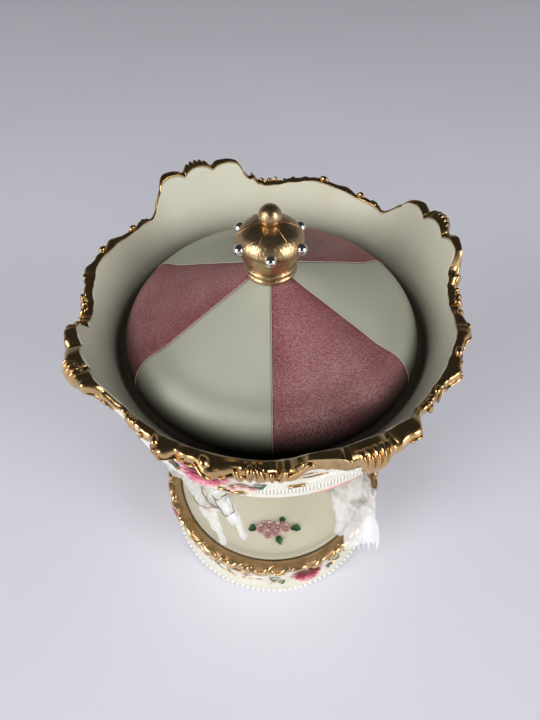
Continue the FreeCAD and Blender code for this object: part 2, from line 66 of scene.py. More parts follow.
class CarouselSizes(PropertyGroup):
    """Sizes of the dressed pieces"""
    canopy_edge: length("Canopy edge", "Radius of the canopy's lower edge", 60.4)
    canopy_foot: length("Canopy foot", "Height of the canopy's lower edge", 130.7)
    gutter: length("Gutter", "Radius of the gutter round the dome", 57.0)
    gutter_height: length("Gutter height", "Height of the gutter's floor", 147.5)
    dome: length("Dome", "Radius of the dome at its foot", 54.0)
    dome_top: length("Dome top", "Height of the dome under the crown", 178.0)
    crest_azimuth: FloatProperty(name="Crest azimuth", description="Where the first tall crest stands",
                                 default=24.0)
    base: length("Base", "Radius of the base wall", 55.4)
    base_foot: length("Base foot", "Radius of the base at its foot", 57.1)
    rim_inner: length("Rim inner", "Inner radius of the base rim", 50.7)
    floor: length("Floor", "Height of the platform floor", 32.6)
    platform: length("Platform", "Radius of the platform", 50.2)
    pole_ring: length("Pole ring", "Radius of the circle the poles stand on", 41.0)
    pole: length("Pole", "Radius of a pole", 1.6)
    bead: length("Bead", "Radius of a bead at the foot of the base", 1.25)
    bead_count: IntProperty(name="Beads", description="Beads round the foot of the base", default=126)
    horse_height: length("Horse height", "Height of a horse's barrel", 66.0)


class CarouselColours(PropertyGroup):
    """Colours of the finishes"""
    ivory: tint("Ivory", "Glazed walls", (0.56, 0.555, 0.455))
    cream: tint("Cream", "Platform floor", (0.76, 0.72, 0.58))
    rose: tint("Rose", "Rose panels of the dome", (0.235, 0.062, 0.072))
    panel: tint("Panel", "Pale panels of the dome", (0.43, 0.44, 0.36))
    gold: tint("Gold", "Polished gilding", (0.62, 0.41, 0.19))
    bronze: tint("Bronze", "Brushed gilding of the crown", (0.60, 0.42, 0.23))
    pink: tint("Pink", "Large blossoms", (0.80, 0.13, 0.30))
    coral: tint("Coral", "Warm parts of the large blossoms", (0.85, 0.25, 0.20))
    violet: tint("Violet", "Cool parts of the large blossoms", (0.70, 0.22, 0.55))
    dusty: tint("Dusty pink", "Roses on the floor", (0.88, 0.56, 0.55))
    leaf: tint("Leaf", "Painted leaves", (0.02, 0.10, 0.03))
    table: tint("Table", "The table", (0.86, 0.865, 0.97))
    air: tint("Air", "The background", (0.42, 0.43, 0.47))


def sizes():
    return bpy.context.scene.carousel_sizes


def colours():
    return bpy.context.scene.carousel_colours


def mm(value):
    return value / MM


# modelling helpers, all places in millimetres


def clear_selection():
    if bpy.context.object and bpy.context.object.mode != "OBJECT":
        bpy.ops.object.mode_set(mode="OBJECT")
    bpy.ops.object.select_all(action="DESELECT")


def pick(objects):
    clear_selection()
    for o in objects:
        o.select_set(True)
    bpy.context.view_layer.objects.active = objects[0]


def tidy(obj):
    pick([obj])
    bpy.ops.object.mode_set(mode="EDIT")
    bpy.ops.mesh.select_all(action="SELECT")
    bpy.ops.mesh.remove_doubles(threshold=2e-6)
    bpy.ops.mesh.normals_make_consistent(inside=False)
    bpy.ops.object.mode_set(mode="OBJECT")
    bpy.ops.object.shade_smooth()


def shaped(name, across, along, place):
    """A grid primitive whose points are moved to place(u, v)."""
    clear_selection()
    bpy.ops.mesh.primitive_grid_add(x_subdivisions=across, y_subdivisions=along, size=2)
    obj = bpy.context.object
    obj.name = name
    for v in obj.data.vertices:
        v.co = Vector(place((v.co.x + 1) / 2, (v.co.y + 1) / 2)) * MM
    tidy(obj)
    return obj


def lump(segments, rings, across, along, high):
    """A smooth sphere primitive drawn out to its three half sizes."""
    clear_selection()
    bpy.ops.mesh.primitive_uv_sphere_add(segments=segments, ring_count=rings, radius=MM)
    bpy.ops.object.shade_smooth()
    return lay(bpy.context.object, lambda x, y, z: Vector((across * x, along * y, high * z)))


def polar(radius, azimuth, z):
    a = math.radians(azimuth)
    return Vector((radius * math.sin(a), -radius * math.cos(a), z))


def within(radius, azimuth, half):
    """The radius, cut where it would leave a square box of that half width."""
    a = math.radians(azimuth)
    return min(radius, half / max(abs(math.sin(a)), abs(math.cos(a))))


def clamp(x):
    return min(max(x, 0.0), 1.0)


def turned(name, profile, steps, rounds=2):
    """A profile of (radius, height) points, extruded point by point, its corners eased, and spun."""
    points = [Vector((r, 0, z)) * MM for r, z in ease(profile, rounds)]
    clear_selection()
    bpy.ops.mesh.primitive_plane_add(size=2 * MM, location=points[0])
    obj = bpy.context.object
    obj.name = name
    bpy.ops.object.transform_apply()
    bpy.ops.object.mode_set(mode="EDIT")
    bpy.ops.mesh.merge(type="CENTER")
    for a, b in zip(points, points[1:]):
        bpy.ops.mesh.extrude_vertices_move(TRANSFORM_OT_translate={"value": b - a})
    bpy.ops.mesh.select_all(action="SELECT")
    bpy.ops.mesh.spin(steps=steps, angle=2 * math.pi, center=(0, 0, 0), axis=UPRIGHT)
    bpy.ops.object.mode_set(mode="OBJECT")
    tidy(obj)
    return obj


def ease(points, rounds):
    """Cuts every corner of a line, as often as rounds says."""
    near, far = 0.82, 0.18
    for _ in range(rounds):
        out = [points[0]]
        for a, b in zip(points, points[1:]):
            out.append(tuple(near * p + far * q for p, q in zip(a, b)))
            out.append(tuple(far * p + near * q for p, q in zip(a, b)))
        out.append(points[-1])
        points = out
    return points


def spline(points, t):
    """A point on a smooth line through the points, t from 0 to 1."""
    n = len(points) - 1
    k = min(int(t * n), n - 1)
    f = t * n - k
    p = [Vector(points[max(0, min(n, k + i))]) for i in (-1, 0, 1, 2)]
    return 0.5 * (2 * p[1] + (p[2] - p[0]) * f + (2 * p[0] - 5 * p[1] + 4 * p[2] - p[3]) * f * f
                  + (3 * p[1] - p[0] - 3 * p[2] + p[3]) * f ** 3)


def trace(pairs, t):
    """Radius and height on the smooth line through the pairs."""
    r, z, _ = spline([(a, b, 0) for a, b in pairs], t)
    return r, z


def tube(name, points, radii, side=(0, 1, 0), along=24, round_=12):
    """A tapering tube through the points; each radius is a pair, across and along the side vector."""
    cap, bulge = 0.04, 0.6
    side = Vector(side)
    pairs = [(*r, 0) if isinstance(r, tuple) else (r, r, 0) for r in radii]

    def place(u, v):
        t = clamp((v - cap) / (1 - 2 * cap))
        d = (spline(points, min(t + 0.01, 1)) - spline(points, max(t - 0.01, 0))).normalized()
        s = (side - d * d.dot(side)).normalized()
        q = d.cross(s)
        size = spline(pairs, t)
        past = (min(0, v - cap) + max(0, v - 1 + cap)) / cap
        a = 2 * math.pi * u
        ring = (q * size.x * math.cos(a) + s * size.y * math.sin(a)) * math.sqrt(max(0, 1 - past * past))
        return spline(points, t) + d * (size.x * bulge * past) + ring
    return shaped(name, round_, along, place)


def join(objects, name):
    if len(objects) > 1:
        pick(objects)
        bpy.ops.object.join()
    obj = objects[0]
    obj.name = name
    obj.data.name = name
    return obj


def lay(obj, where):
    """Moves every point of a piece made flat at the origin to where(x, y, z)."""
    for v in obj.data.vertices:
        v.co = where(*(v.co / MM)) * MM
    return obj


def duplicate(obj):
    """A copy with a mesh of its own."""
    copy = obj.copy()
    copy.data = obj.data.copy()
    bpy.context.scene.collection.objects.link(copy)
    return copy


def stamp(template, name, places):
    """Copies a template to every place and joins the copies into one piece."""
    made = [lay(duplicate(template), where) for where in places]
    bpy.data.objects.remove(template)
    return join(made, name)


def finish(obj, body, slot, coat, *nodes):
    """Gives a piece its finish and body; nodes are the plain solids it takes the place of. slot is not used.
    """
    obj.data.materials.clear()
    obj.data.materials.append(finish_named(coat))
    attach(obj, body)
    if nodes:
        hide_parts(*nodes)
    return obj


def tilted(tilt, scale, put):
    """Turns and scales a flat ornament, then puts each of its points down with put(x, y, height)."""
    c, s = math.cos(math.radians(tilt)), math.sin(math.radians(tilt))
    return lambda x, y, h: put(scale * (x * c - y * s), scale * (x * s + y * c), scale * h)


def turn_z(angle, rise=0.0, pitch=0.0):
    c, s = math.cos(math.radians(angle)), math.sin(math.radians(angle))
    cp, sp = math.cos(math.radians(pitch)), math.sin(math.radians(pitch))

    def where(x, y, z):
        y, z = y * cp - z * sp, y * sp + z * cp
        return Vector((x * c - y * s, x * s + y * c, z + rise))
    return where


def around(put, starts, rows, lift=0.0):
    """Places laid with put: from every start, each row's azimuth, height, tilt and size."""
    return [put(a + o, at, tilt, lift, *size) for a in starts for o, at, tilt, *size in rows]


# canopy shape; places on the rim are degrees from the middle of a crest, every quarter drawn out to 90

# each crest's azimuth, and how much lower it stands
CRESTS = ((-62.5, 3.5), (20.5, 0.0), (114, 2.0), (204, 1.2))
CREST_AZIMUTHS = [a for a, _ in CRESTS]
QUARTER_START = -20
# rise of the rim by its angle from the front
RIM_LEAN = ((0, -3.0), (82, -3.0), (108, 0.0), (160, 2.4), (180, 2.4))
CREST_SPAN = ((-20, 0), (-15, 1), (14, 1), (24, 0), (70, 0))
# lobes and knobs: centre, half width and rise
CREST_LOBES = ((-9.6, 5.3, 2.8), (0.4, 5.1, 3.3), (10.1, 4.9, 2.8))
RIM_KNOBS = ((23.4, 0.8, 0.4), (25.0, 0.8, 0.6), (26.6, 0.8, 0.5), (58.0, 3.2, 0.4), (62.2, 0.9, 0.4),
             (64.2, 0.9, 0.5), (66.2, 0.9, 0.4))
# height of the rim, and the width and drop of its gilding
RIM_RUN = ((-20, 165.8), (-17.5, 168.6), (-12.5, 173.5), (13.5, 174.0), (22.3, 165.2), (27, 165.7),
           (32, 165.8), (40, 167.0), (50, 168.0), (58, 166.6), (64, 165.2), (67.5, 165.0), (70, 165.8))
GILT_WIDTH = ((-20, 3.4), (-13, 3.9), (-6, 4.4), (4, 4.6), (11, 4.2), (15, 2.0), (21, 1.7), (24.5, 2.5),
              (33, 2.6), (38.5, 4.6), (43.5, 2.8), (48, 2.9), (53, 4.8), (59, 3.4), (70, 3.4))
GILT_DROP = ((-20, 4.8), (-8, 5.2), (6, 5.4), (16, 3.0), (24, 3.2), (32, 4.2), (40, 4.0), (48, 4.8),
             (58, 4.6), (64, 5.4), (70, 4.8))
# half widths that the gilding, its uneven face and its ornaments keep to
GILT_REACH, FACE_REACH, REACH = 68.2, 69.2, 69.3
# three points of each wall's curve, and the upright band under it
WALL_IN = ((57.0, 149.0), (63.4, 164.0), (68.6, 178.0))
WALL_OUT = ((61.2, 145.0), (66.4, 164.0), (71.4, 178.0))
BAND_R, BAND_TOP = 60.4, 138.7


def between(table, x):
    """A smooth value at x from a table of pairs."""
    for (a, low), (b, high) in zip(table, table[1:]):
        if x <= b:
            t = max(0.0, (x - a) / (b - a))
            return low + (high - low) * t * t * (3 - 2 * t)
    return table[-1][1]


def from_crest(az):
    """Degrees from the crest before, or the one just ahead, and how much lower that crest stands."""
    starts = [a + QUARTER_START for a in CREST_AZIMUTHS]
    starts.append(starts[0] + 360)
    az = (az - starts[0]) % 360 + starts[0]
    i = bisect.bisect_right(starts, az) - 1
    return 90 * (az - starts[i]) / (starts[i + 1] - starts[i]) + QUARTER_START, CRESTS[i][1]


def swell(table, at):
    """Round rises, each given by its centre, half width and height."""
    return sum(rise * (1 - ((at - c) / half) ** 2) ** 0.62 for c, half, rise in table if abs(at - c) < half)


def rim_height(az):
    """Height of the ivory rim: a low run, three cloud lobes on each crest, and a lean to the front."""
    at, lower = from_crest(az)
    lean = between(RIM_LEAN, abs((az + 180) % 360 - 180))
    return between(RIM_RUN, at) + swell(CREST_LOBES, at) - lower * between(CREST_SPAN, at) + lean


def arc_radius(curve, z):
    """Radius at height z on the curve through three (radius, height) points."""
    a, b, c = curve
    t = (z - a[1]) / (c[1] - a[1])
    s = (b[1] - a[1]) / (c[1] - a[1])
    bow = (b[0] - (a[0] + (c[0] - a[0]) * s)) / (s * (1 - s))
    return a[0] + (c[0] - a[0]) * t + bow * t * (1 - t)


def wall_in(z):
    return arc_radius(WALL_IN, z)


def wall_out(z):
    r, foot = WALL_OUT[0]
    if z < foot:
        return BAND_R + (r - BAND_R) * max(0.0, z - BAND_TOP) / (foot - BAND_TOP)
    return arc_radius(WALL_OUT, z)


def on_canopy(az0, z0, tilt=0.0, lift=0.0, scale=1.0):
    """Lays a flat ornament on the outside of the canopy wall."""
    slope = (wall_out(z0 + 1) - wall_out(z0 - 1)) / 2
    steep = math.sqrt(1 + slope * slope)

    def put(x, y, h):
        z = z0 + y / steep
        n = (h + lift) / steep
        return polar(wall_out(z) + n, az0 + math.degrees(x / wall_out(z)), z - n * slope)
    return tilted(tilt, scale, put)


def gilt(az, s):
    """Radius and height on the gilt moulding; s is 0 at its inner edge and 1 under its outer edge."""
    at, _ = from_crest(az)
    top = rim_height(az)
    inner = wall_in(top)
    w, drop, knob = between(GILT_WIDTH, at), between(GILT_DROP, at), swell(RIM_KNOBS, at)
    w *= 1.06 + 0.14 * math.cos(math.radians(az))
    skin = wall_out(top - drop - 0.9) - inner
    uneven = 0.5 * noise.noise(polar(13, az, 0.5)) + 0.4 * noise.noise(polar(26, az, 4.5))
    x, h = trace(((0.5, -0.9), (0.2, -0.2), (0.2 + 0.1 * w, -0.02), (0.35 * w, 0.12 + 0.6 * knob),
                  (0.55 * w, 0.2 + 0.9 * knob), (0.75 * w, 0.1 + 0.9 * knob), (0.92 * w, -0.4 + 0.6 * knob),
                  (1.04 * w, -1.4 + 0.2 * knob), (1.08 * w, -2.8), (1.06 * w, -0.75 * drop), (w, -drop),
                  (0.8 * w, -drop - 0.5), (skin - 0.2, -drop - 0.9)), s)
    rough = math.sin(math.pi * clamp((s - 0.02) / 0.96)) ** 0.3 * uneven
    return within(inner + x + rough, az, GILT_REACH), top + h + 0.7 * rough


def on_gilt(az0, s0, tilt=0.0, lift=0.0, scale=1.0):
    """Lays a flat ornament on the gilt moulding, centred at s0 across it."""
    rim_r, girth, step = 68, 14, 0.03

    def put(x, y, h):
        az = az0 + math.degrees(x / rim_r)
        s = min(max(s0 - y / girth, step), 1 - step)
        r, z = gilt(az, s)
        (r0, z0), (r1, z1) = gilt(az, s - step), gilt(az, s + step)
        n = (h + lift) / math.hypot(r1 - r0, z1 - z0)
        return polar(within(r - n * (z1 - z0), az, REACH), az, z + n * (r1 - r0))
    return tilted(tilt, scale, put)


# ornaments made flat at the origin, facing +Z


def petal(width, reach, cup, curl):
    def place(u, v):
        s = 2 * u - 1
        w = width * (0.12 * (1 - v) + math.sin(math.pi * v ** 1.4) ** 0.6)
        hollow = cup * (s * s - 0.4) * math.sin(math.pi * v * 0.9)
        return (s * w / 2, 0.05 + v * reach, hollow + curl * v * v)
    return shaped("petal", 6, 6, place)


def blossom(name, *rings):
    """Rings of petals: count, width, reach, cup, curl, pitch, rise and starting angle."""
    made = []
    for count, width, reach, cup, curl, pitch, rise, start in rings:
        made.append(stamp(petal(width, reach, cup, curl), "ring",
                          [turn_z(start + 360 * i / count, rise, pitch) for i in range(count)]))
    return join(made, name)


def rose():
    return blossom("rose", (5, 0.95, 1.0, 0.14, 0.05, 14, 0.05, 0),
                   (5, 0.80, 0.74, 0.18, 0.10, 34, 0.12, 36), (4, 0.62, 0.52, 0.2, 0.05, 56, 0.20, 10),
                   (3, 0.45, 0.42, 0.2, -0.05, 78, 0.22, 50))


def peony():
    full = blossom("peony", (8, 0.78, 1.0, 0.06, -0.06, 5, 0.06, 0),
                   (8, 0.66, 0.82, 0.08, -0.04, 11, 0.13, 20), (7, 0.56, 0.62, 0.10, -0.02, 20, 0.18, 5),
                   (6, 0.46, 0.44, 0.12, 0.0, 32, 0.22, 30), (4, 0.34, 0.30, 0.12, 0.0, 52, 0.24, 12))
    return lay(full, lambda x, y, z: Vector((x, 0.8 * y, 0.8 * z)))


def daisy():
    return blossom("daisy", (5, 0.8, 1.0, 0.12, 0.06, 16, 0.05, 0), (5, 0.4, 0.45, 0.1, 0.05, 45, 0.12, 36))


def leaf_blade():
    def place(u, v):
        s = 2 * u - 1
        arch = math.sin(math.pi * v)
        w = 0.32 * arch ** 0.8 * (1 + 0.12 * math.sin(14 * v))
        return (s * w, v, 0.10 * abs(s) * arch + 0.16 * arch - 0.06 * v)
    return shaped("leaf", 6, 10, place)


def scroll(name, head, tail, bend, thick, size):
    """A scroll that coils at both ends; bend of 1 keeps one hand, -1 swaps it half way."""
    steps = 40
    x = y = heading = 0.0
    line = []
    for i in range(steps + 1):
        t = i / steps
        line.append((x, y))
        turn = head * max(0, 1 - 2.2 * t) ** 2 + tail * max(0, 2.2 * t - 1.2) ** 2 * bend
        heading += (turn + 0.9 * (1 if t < 0.5 else bend)) / steps
        x += math.cos(heading) / steps
        y += math.sin(heading) / steps
    cx, cy = (sum(p[i] for p in line) / len(line) for i in (0, 1))
    angle = math.atan2(line[-1][1] - line[0][1], line[-1][0] - line[0][0])
    c, s = math.cos(-angle), math.sin(-angle)
    line = [(x - cx, y - cy) for x, y in line]
    points = [(size * (x * c - y * s), size * (x * s + y * c), 0) for x, y in line]
    radii = [(thick * w, thick * w * 0.9) for w in (0.75, 0.8, 0.9, 1.0, 1.05, 1.0, 0.9, 0.8, 0.75)]
    return tube(name, points, radii, side=UPRIGHT, along=40, round_=7)


def crest_shell(az0):
    """A ribbed shell that hangs on the outer face of a crest, wide at its top and curled at its foot."""
    edge, top = gilt(az0, 0.62)
    line = ((-4.4, 0.6), (-3.2, 1.9), (-1.5, 2.2), (0.1, 0.9), (0.7, -1.6), (0.5, -4.3), (-0.1, -6.6),
            (-1.2, -8.4), (-2.6, -9.4))
    ribs, half_width, rim_r = 5, 5.6, 69

    def place(u, v):
        s = 2 * u - 1
        x, h = trace(line, v)
        rib = abs(math.cos(math.pi * ribs * (u + 0.10 * v + 0.1))) ** 0.8
        full = math.sqrt(max(0.0, 1 - s * s))
        out = edge + x + (0.6 * full + 1.3 * rib * full - 1.0) * math.sin(math.pi * (0.12 + 0.8 * v))
        az = az0 + math.degrees(s * half_width * (1 - 0.62 * v ** 1.2) / rim_r)
        rise = 1.0 * rib * (1 - v) * full - 1.2 * s * s * (1 - v)
        return polar(within(out, az, REACH), az, top + h + rise)
    return shaped("shell", 96, 24, place)


def comma(name, reach, thick, sweep):
    """A tapering leaf stroke that curls over at its end."""
    points = [(0, 0, 0), (0.05 * sweep, 0.35 * reach, 0.3 * thick), (0.3 * sweep, 0.75 * reach, 0.4 * thick),
              (0.75 * sweep, reach, 0.2 * thick), (1.05 * sweep, 0.86 * reach, 0.1 * thick)]
    radii = [w * thick for w in (0.55, 0.9, 1, 0.8, 0.5)]
    return tube(name, points, radii, side=UPRIGHT, along=14, round_=7)


# finishes


class Nodes:
    """A shader node tree being built."""

    def __init__(self, tree):
        self.tree = tree

    def fill(self, socket, value):
        """Gives a socket another socket, a colour or a number."""
        if isinstance(value, NodeSocket):
            self.tree.links.new(value, socket)
        elif socket.type == "RGBA":
            socket.default_value = (*value[:3], 1)
        else:
            socket.default_value = value

    def node(self, kind, **values):
        """A node with its settings and its sockets filled; a space in a socket's name is written as _."""
        n = self.tree.nodes.new("ShaderNode" + kind)
        for key, value in values.items():
            socket = key.replace("_", " ")
            if socket in n.inputs:
                self.fill(n.inputs[socket], value)
            else:
                setattr(n, key, value)
        return n

    def at(self):
        return self.node("TexCoord").outputs["Object"]

    def stretched(self, *scale):
        return self.node("Mapping", Vector=self.at(), Scale=scale).outputs["Vector"]

    def grain(self, scale, detail=2.0, vector=None):
        """The value of a noise on the piece's own coordinates."""
        return self.node("TexNoise", Vector=vector or self.at(), Scale=scale, Detail=detail).outputs["Fac"]

    def ramp(self, source, stops):
        r = self.node("ValToRGB", Fac=source)
        while len(r.color_ramp.elements) < len(stops):
            r.color_ramp.elements.new(0.5)
        for e, (at, colour) in zip(r.color_ramp.elements, stops):
            e.position = at
            e.color = (*colour, 1)
        return r.outputs["Color"]

    def math(self, kind, *values):
        n = self.node("Math", operation=kind)
        for socket, value in zip(n.inputs, values):
            self.fill(socket, value)
        return n.outputs[0]

    def span(self, source, low, high, kind="SMOOTHSTEP", top=1.0):
        """Runs from 0 at low to top at high."""
        return self.node("MapRange", interpolation_type=kind, Value=source, From_Min=low, From_Max=high,
                         To_Max=top).outputs["Result"]

    def mix(self, factor, a, b):
        n = self.node("Mix", data_type="RGBA")
        for i, value in ((0, factor), (6, a), (7, b)):
            self.fill(n.inputs[i], value)
        return n.outputs[2]

    def reach(self):
        """Distance from the axis and height, in millimetres."""
        x, y, z = self.node("SeparateXYZ", Vector=self.at()).outputs
        flat = self.node("CombineXYZ", X=x, Y=y).outputs[0]
        far = self.node("VectorMath", operation="LENGTH", Vector=flat).outputs["Value"]
        return self.math("MULTIPLY", far, 1 / MM), self.math("MULTIPLY", z, 1 / MM)


class Paint(Nodes):
    """A material being built, with the sockets of its Principled shader."""

    def __init__(self, name, colour, rough, metallic=0.0):
        self.mat = bpy.data.materials.new(name)
        self.mat.use_nodes = True
        super().__init__(self.mat.node_tree)
        self.shader = self.tree.nodes["Principled BSDF"].inputs
        self.set(Base_Color=colour, Roughness=rough, Metallic=metallic)

    def set(self, **values):
        for key, value in values.items():
            self.fill(self.shader[key.replace("_", " ")], value)
        return self

    def bump(self, source, strength, distance):
        b = self.node("Bump", Strength=strength, Distance=distance, Height=source)
        return self.set(Normal=b.outputs["Normal"])


def group_tree(name, **inputs):
    """A node group that puts out a colour, a roughness and a height."""
    tree = bpy.data.node_groups.new(name, "ShaderNodeTree")
    for label, value in inputs.items():
        kind = "NodeSocketColor" if isinstance(value, tuple) else "NodeSocketFloat"
        tree.interface.new_socket(name=label, in_out="INPUT", socket_type=kind).default_value = value
    for label, kind in (("Colour", "Color"), ("Rough", "Float"), ("Height", "Float")):
        tree.interface.new_socket(name=label, in_out="OUTPUT", socket_type="NodeSocket" + kind)
    return Nodes(tree), tree.nodes.new("NodeGroupInput").outputs, tree.nodes.new("NodeGroupOutput").inputs


def glaze_group(name):
    """Uneven glaze: a soft colour drift, small specks and a rippled height."""
    n, given, out = group_tree(name, Colour=(0.8, 0.8, 0.8, 1), Shade=(0.5, 0.5, 0.5, 1), Scale=60.0,
                               Rough=0.25)
    broad, fine = n.grain(given["Scale"], 3.0), n.grain(900.0)
    n.fill(out["Colour"], n.mix(n.span(broad, 0.42, 0.72, "LINEAR", 0.55), given["Colour"], given["Shade"]))
    n.fill(out["Rough"], n.math("MULTIPLY_ADD", fine, 0.12, given["Rough"]))
    n.fill(out["Height"], n.math("ADD", broad, fine))
    return n.tree


def gilding_group(name):
    """Rubbed gilding: bright on the open metal, brown where the leaf is thin."""
    n, given, out = group_tree(name, Bright=(0.8, 0.6, 0.3, 1), Dull=(0.2, 0.12, 0.05, 1), Scale=250.0,
                               Wear=0.4, Rough=0.15)
    patch = n.grain(given["Scale"], 5.0)
    thin = n.math("MULTIPLY", n.span(patch, 0.48, 0.75, "LINEAR"), given["Wear"])
    n.fill(out["Colour"], n.mix(thin, given["Bright"], given["Dull"]))
    n.fill(out["Rough"], n.math("MULTIPLY_ADD", thin, 0.18, given["Rough"]))
    n.fill(out["Height"], patch)
    return n.tree


def from_group(paint, name, build, strength, distance, **values):
    """Puts a group that several finishes share into a material."""
    tree = bpy.data.node_groups.get(name) or build(name)
    g = paint.node("Group", node_tree=tree, **values).outputs
    return paint.set(Base_Color=g["Colour"], Roughness=g["Rough"]).bump(g["Height"], strength, distance)


def glazed(name, colour, shade, rough=0.2, scale=60.0, coat=0.35):
    p = Paint(name, colour, rough).set(Coat_Weight=coat, Coat_Roughness=0.2)
    return from_group(p, "Uneven Glaze", glaze_group, 0.12, 0.0003, Colour=colour, Shade=shade, Scale=scale,
                      Rough=rough)


def gilded(name, bright, dull, rough=0.14, scale=260.0, wear=0.5):
    return from_group(Paint(name, bright, rough, 1.0), "Rubbed Gilding", gilding_group, 0.25, 0.0004,
                      Bright=bright, Dull=dull, Scale=scale, Wear=wear, Rough=rough)


def dim(colour, factor):
    return tuple(factor * c for c in colour)


def toned(colour, *factors):
    return tuple(c * f for c, f in zip(colour, factors))


def canopy_glaze(name, ivory):
    """The ivory glaze, painted darker down the inner wall towards the gutter round the dome and darkest in
    the gutter: painted shade, with some brown patina in the gutter; the outer face takes a lighter ivory, as
    painted light.
    """
    p = glazed(name, ivory, toned(ivory, 0.92, 0.90, 0.84), 0.40, 60.0, 0.04)
    plain = p.shader["Base Color"].links[0].from_socket
    radius, height = p.reach()
    # painted shade: the inner wall darkens from 166 mm down to 150 mm
    painted_wall_shade = p.math("MULTIPLY", p.span(height, 166.0, 150.0), 0.40)
    # partly brown patina, mostly painted shade: the gutter goes nearly black below 153.5 mm
    gutter_patina_and_shade = p.math("MULTIPLY", p.span(height, 153.5, 148.5), 0.95)
    inside = p.mix(p.math("MAXIMUM", painted_wall_shade, gutter_patina_and_shade), plain, (0.07, 0.055, 0.042))
    # painted light: the outer face of the wall takes a lighter ivory than the inside, standing in for the
    # stronger light it gets
    through = p.math("SUBTRACT", radius, p.math("MULTIPLY_ADD", height, 0.405, -3.1))
    return p.set(Base_Color=p.mix(p.span(through, 1.2, 2.0), inside, (0.71, 0.69, 0.61)))


def brushed_bronze(name, *values):
    p = gilded(name, *values)
    return p.bump(p.grain(1.0, 3.0, p.stretched(1100, 1100, 90)), 0.5, 0.0004)


def painted(name, stops, rough=0.3, patches=()):
    """A petal or leaf colour that runs from its root to its tip on the piece's own map."""
    p = Paint(name, stops[0][1], rough)
    uv = p.node("UVMap").outputs["UV"]
    colour = p.ramp(p.node("SeparateXYZ", Vector=uv).outputs["Y"], stops)
    streak = p.node("TexWave", Vector=uv, Scale=9.0, Distortion=3.0, Detail=2.0).outputs["Fac"]
    drift = p.grain(130.0)
    for tone, low, high in patches:
        colour = p.mix(p.span(drift, low, high, "LINEAR"), colour, tone)
    colour = p.mix(p.math("MULTIPLY", streak, 0.18), colour, dim(stops[0][1], 0.6))
    return p.set(Base_Color=colour, Coat_Weight=0.3, Coat_Roughness=0.1).bump(streak, 0.3, 0.0002)


def clear_acrylic(name):
    """Clear acrylic drawn out in faint upright streaks, tinted from dark grey to white; the dark grey is a
    painted reflection of dark surroundings.
    """
    p = Paint(name, (0.92, 0.935, 0.95), 0.04).set(Transmission_Weight=1.0, IOR=1.49)
    streak = p.grain(1.0, 2.0, p.stretched(480, 480, 70))
    # painted reflection: dark grey streaks in the glass's colour stand in for dark surroundings seen through
    # it
    tone = p.ramp(streak, [(0.36, (0.26, 0.28, 0.32)), (0.50, (0.88, 0.90, 0.93)), (0.60, (1, 1, 1))])
    p.set(Base_Color=tone, Roughness=p.span(streak, 0.0, 1.0, "LINEAR", 0.03))
    return p.bump(streak, 0.12, 0.001)


def dome_panels(name, red, pale):
    """Six panels on the dome's own map: every other one rose, with the moulded net of a woven cloth; painted
    shade darkens each seam and the dome's foot.
    """
    p = Paint(name, pale, 0.45)
    lap = p.node("SeparateXYZ", Vector=p.node("UVMap").outputs["UV"]).outputs["X"]
    radius, height = p.reach()
    turn = p.math("FRACT", p.math("MULTIPLY", lap, 3.0))
    pink = p.math("LESS_THAN", turn, 0.5)
    aside = p.math("SUBTRACT", turn, 0.25)
    swing = p.math("MULTIPLY", aside, math.radians(120))
    drift = p.math("MULTIPLY", p.grain(260.0, 1.0), 0.9)
    warp, weft = (p.math("ADD", p.math("MULTIPLY", radius, p.math(way, swing)), drift)
                  for way in ("COSINE", "SINE"))
    cloth_at = p.node("CombineXYZ", X=warp, Y=weft).outputs[0]
    pits = p.node("TexVoronoi", voronoi_dimensions="2D", Vector=cloth_at, Scale=1.3, Randomness=0.6)
    net = p.span(pits.outputs["Distance"], 0.06, 0.52)
    uneven = p.grain(42.0, 4.0)
    low = p.ramp(uneven, [(0.35, dim(red, 0.7)), (0.65, red)])
    high = p.ramp(uneven, [(0.35, toned(red, 1.25, 1.8, 1.7)), (0.65, toned(red, 1.65, 3.2, 2.8))])
    rubbed = p.math("ADD", p.math("MULTIPLY", net, 0.28), p.math("MULTIPLY", p.grain(950.0), 0.68))
    margin = p.span(p.math("ABSOLUTE", aside), 0.10, 0.25)
    worn = p.math("MULTIPLY_ADD", p.math("SUBTRACT", 0.35, margin), 0.16, rubbed)
    cloth = p.mix(p.span(worn, 0.34, 0.74, "LINEAR"), low, high)
    colour = p.mix(pink, p.mix(uneven, pale, dim(pale, 0.88)), cloth)
    # painted shade: a dark band along each seam, standing in for the shade along the sunken seam
    sixth = p.math("FRACT", p.math("MULTIPLY_ADD", lap, 6.0, 0.5))
    apart = p.math("MULTIPLY", p.math("ABSOLUTE", p.math("SUBTRACT", sixth, 0.5)), radius)
    painted_seam_shade = p.span(p.math("MULTIPLY", apart, math.radians(60)), 0.18, 0.40, "LINEAR")
    colour = p.mix(painted_seam_shade, (0.10, 0.075, 0.06), colour)
    # mostly painted shade, partly patina: the dome darkens towards its foot below 160 mm
    foot = p.math("MULTIPLY", p.span(height, 160.0, 149.5), 0.92)
    p.set(Base_Color=p.mix(foot, colour, (0.05, 0.04, 0.032)), Coat_Weight=0.03, Coat_Roughness=0.3)
    return p.bump(p.math("MULTIPLY", net, pink), 0.55, 0.0003)


def felt(name):
    p = Paint(name, (0.035, 0.045, 0.033), 0.95)
    nap = p.grain(2600.0, 4.0)
    p.set(Base_Color=p.ramp(nap, [(0.3, (0.02, 0.028, 0.02)), (0.7, (0.06, 0.075, 0.055))]))
    return p.bump(nap, 0.8, 0.0005)


def table_top(name, colour):
    p = Paint(name, colour, 0.35)
    return p.set(Base_Color=p.ramp(p.grain(3.0, 3.0), [(0.3, dim(colour, 0.95)), (0.7, colour)]))


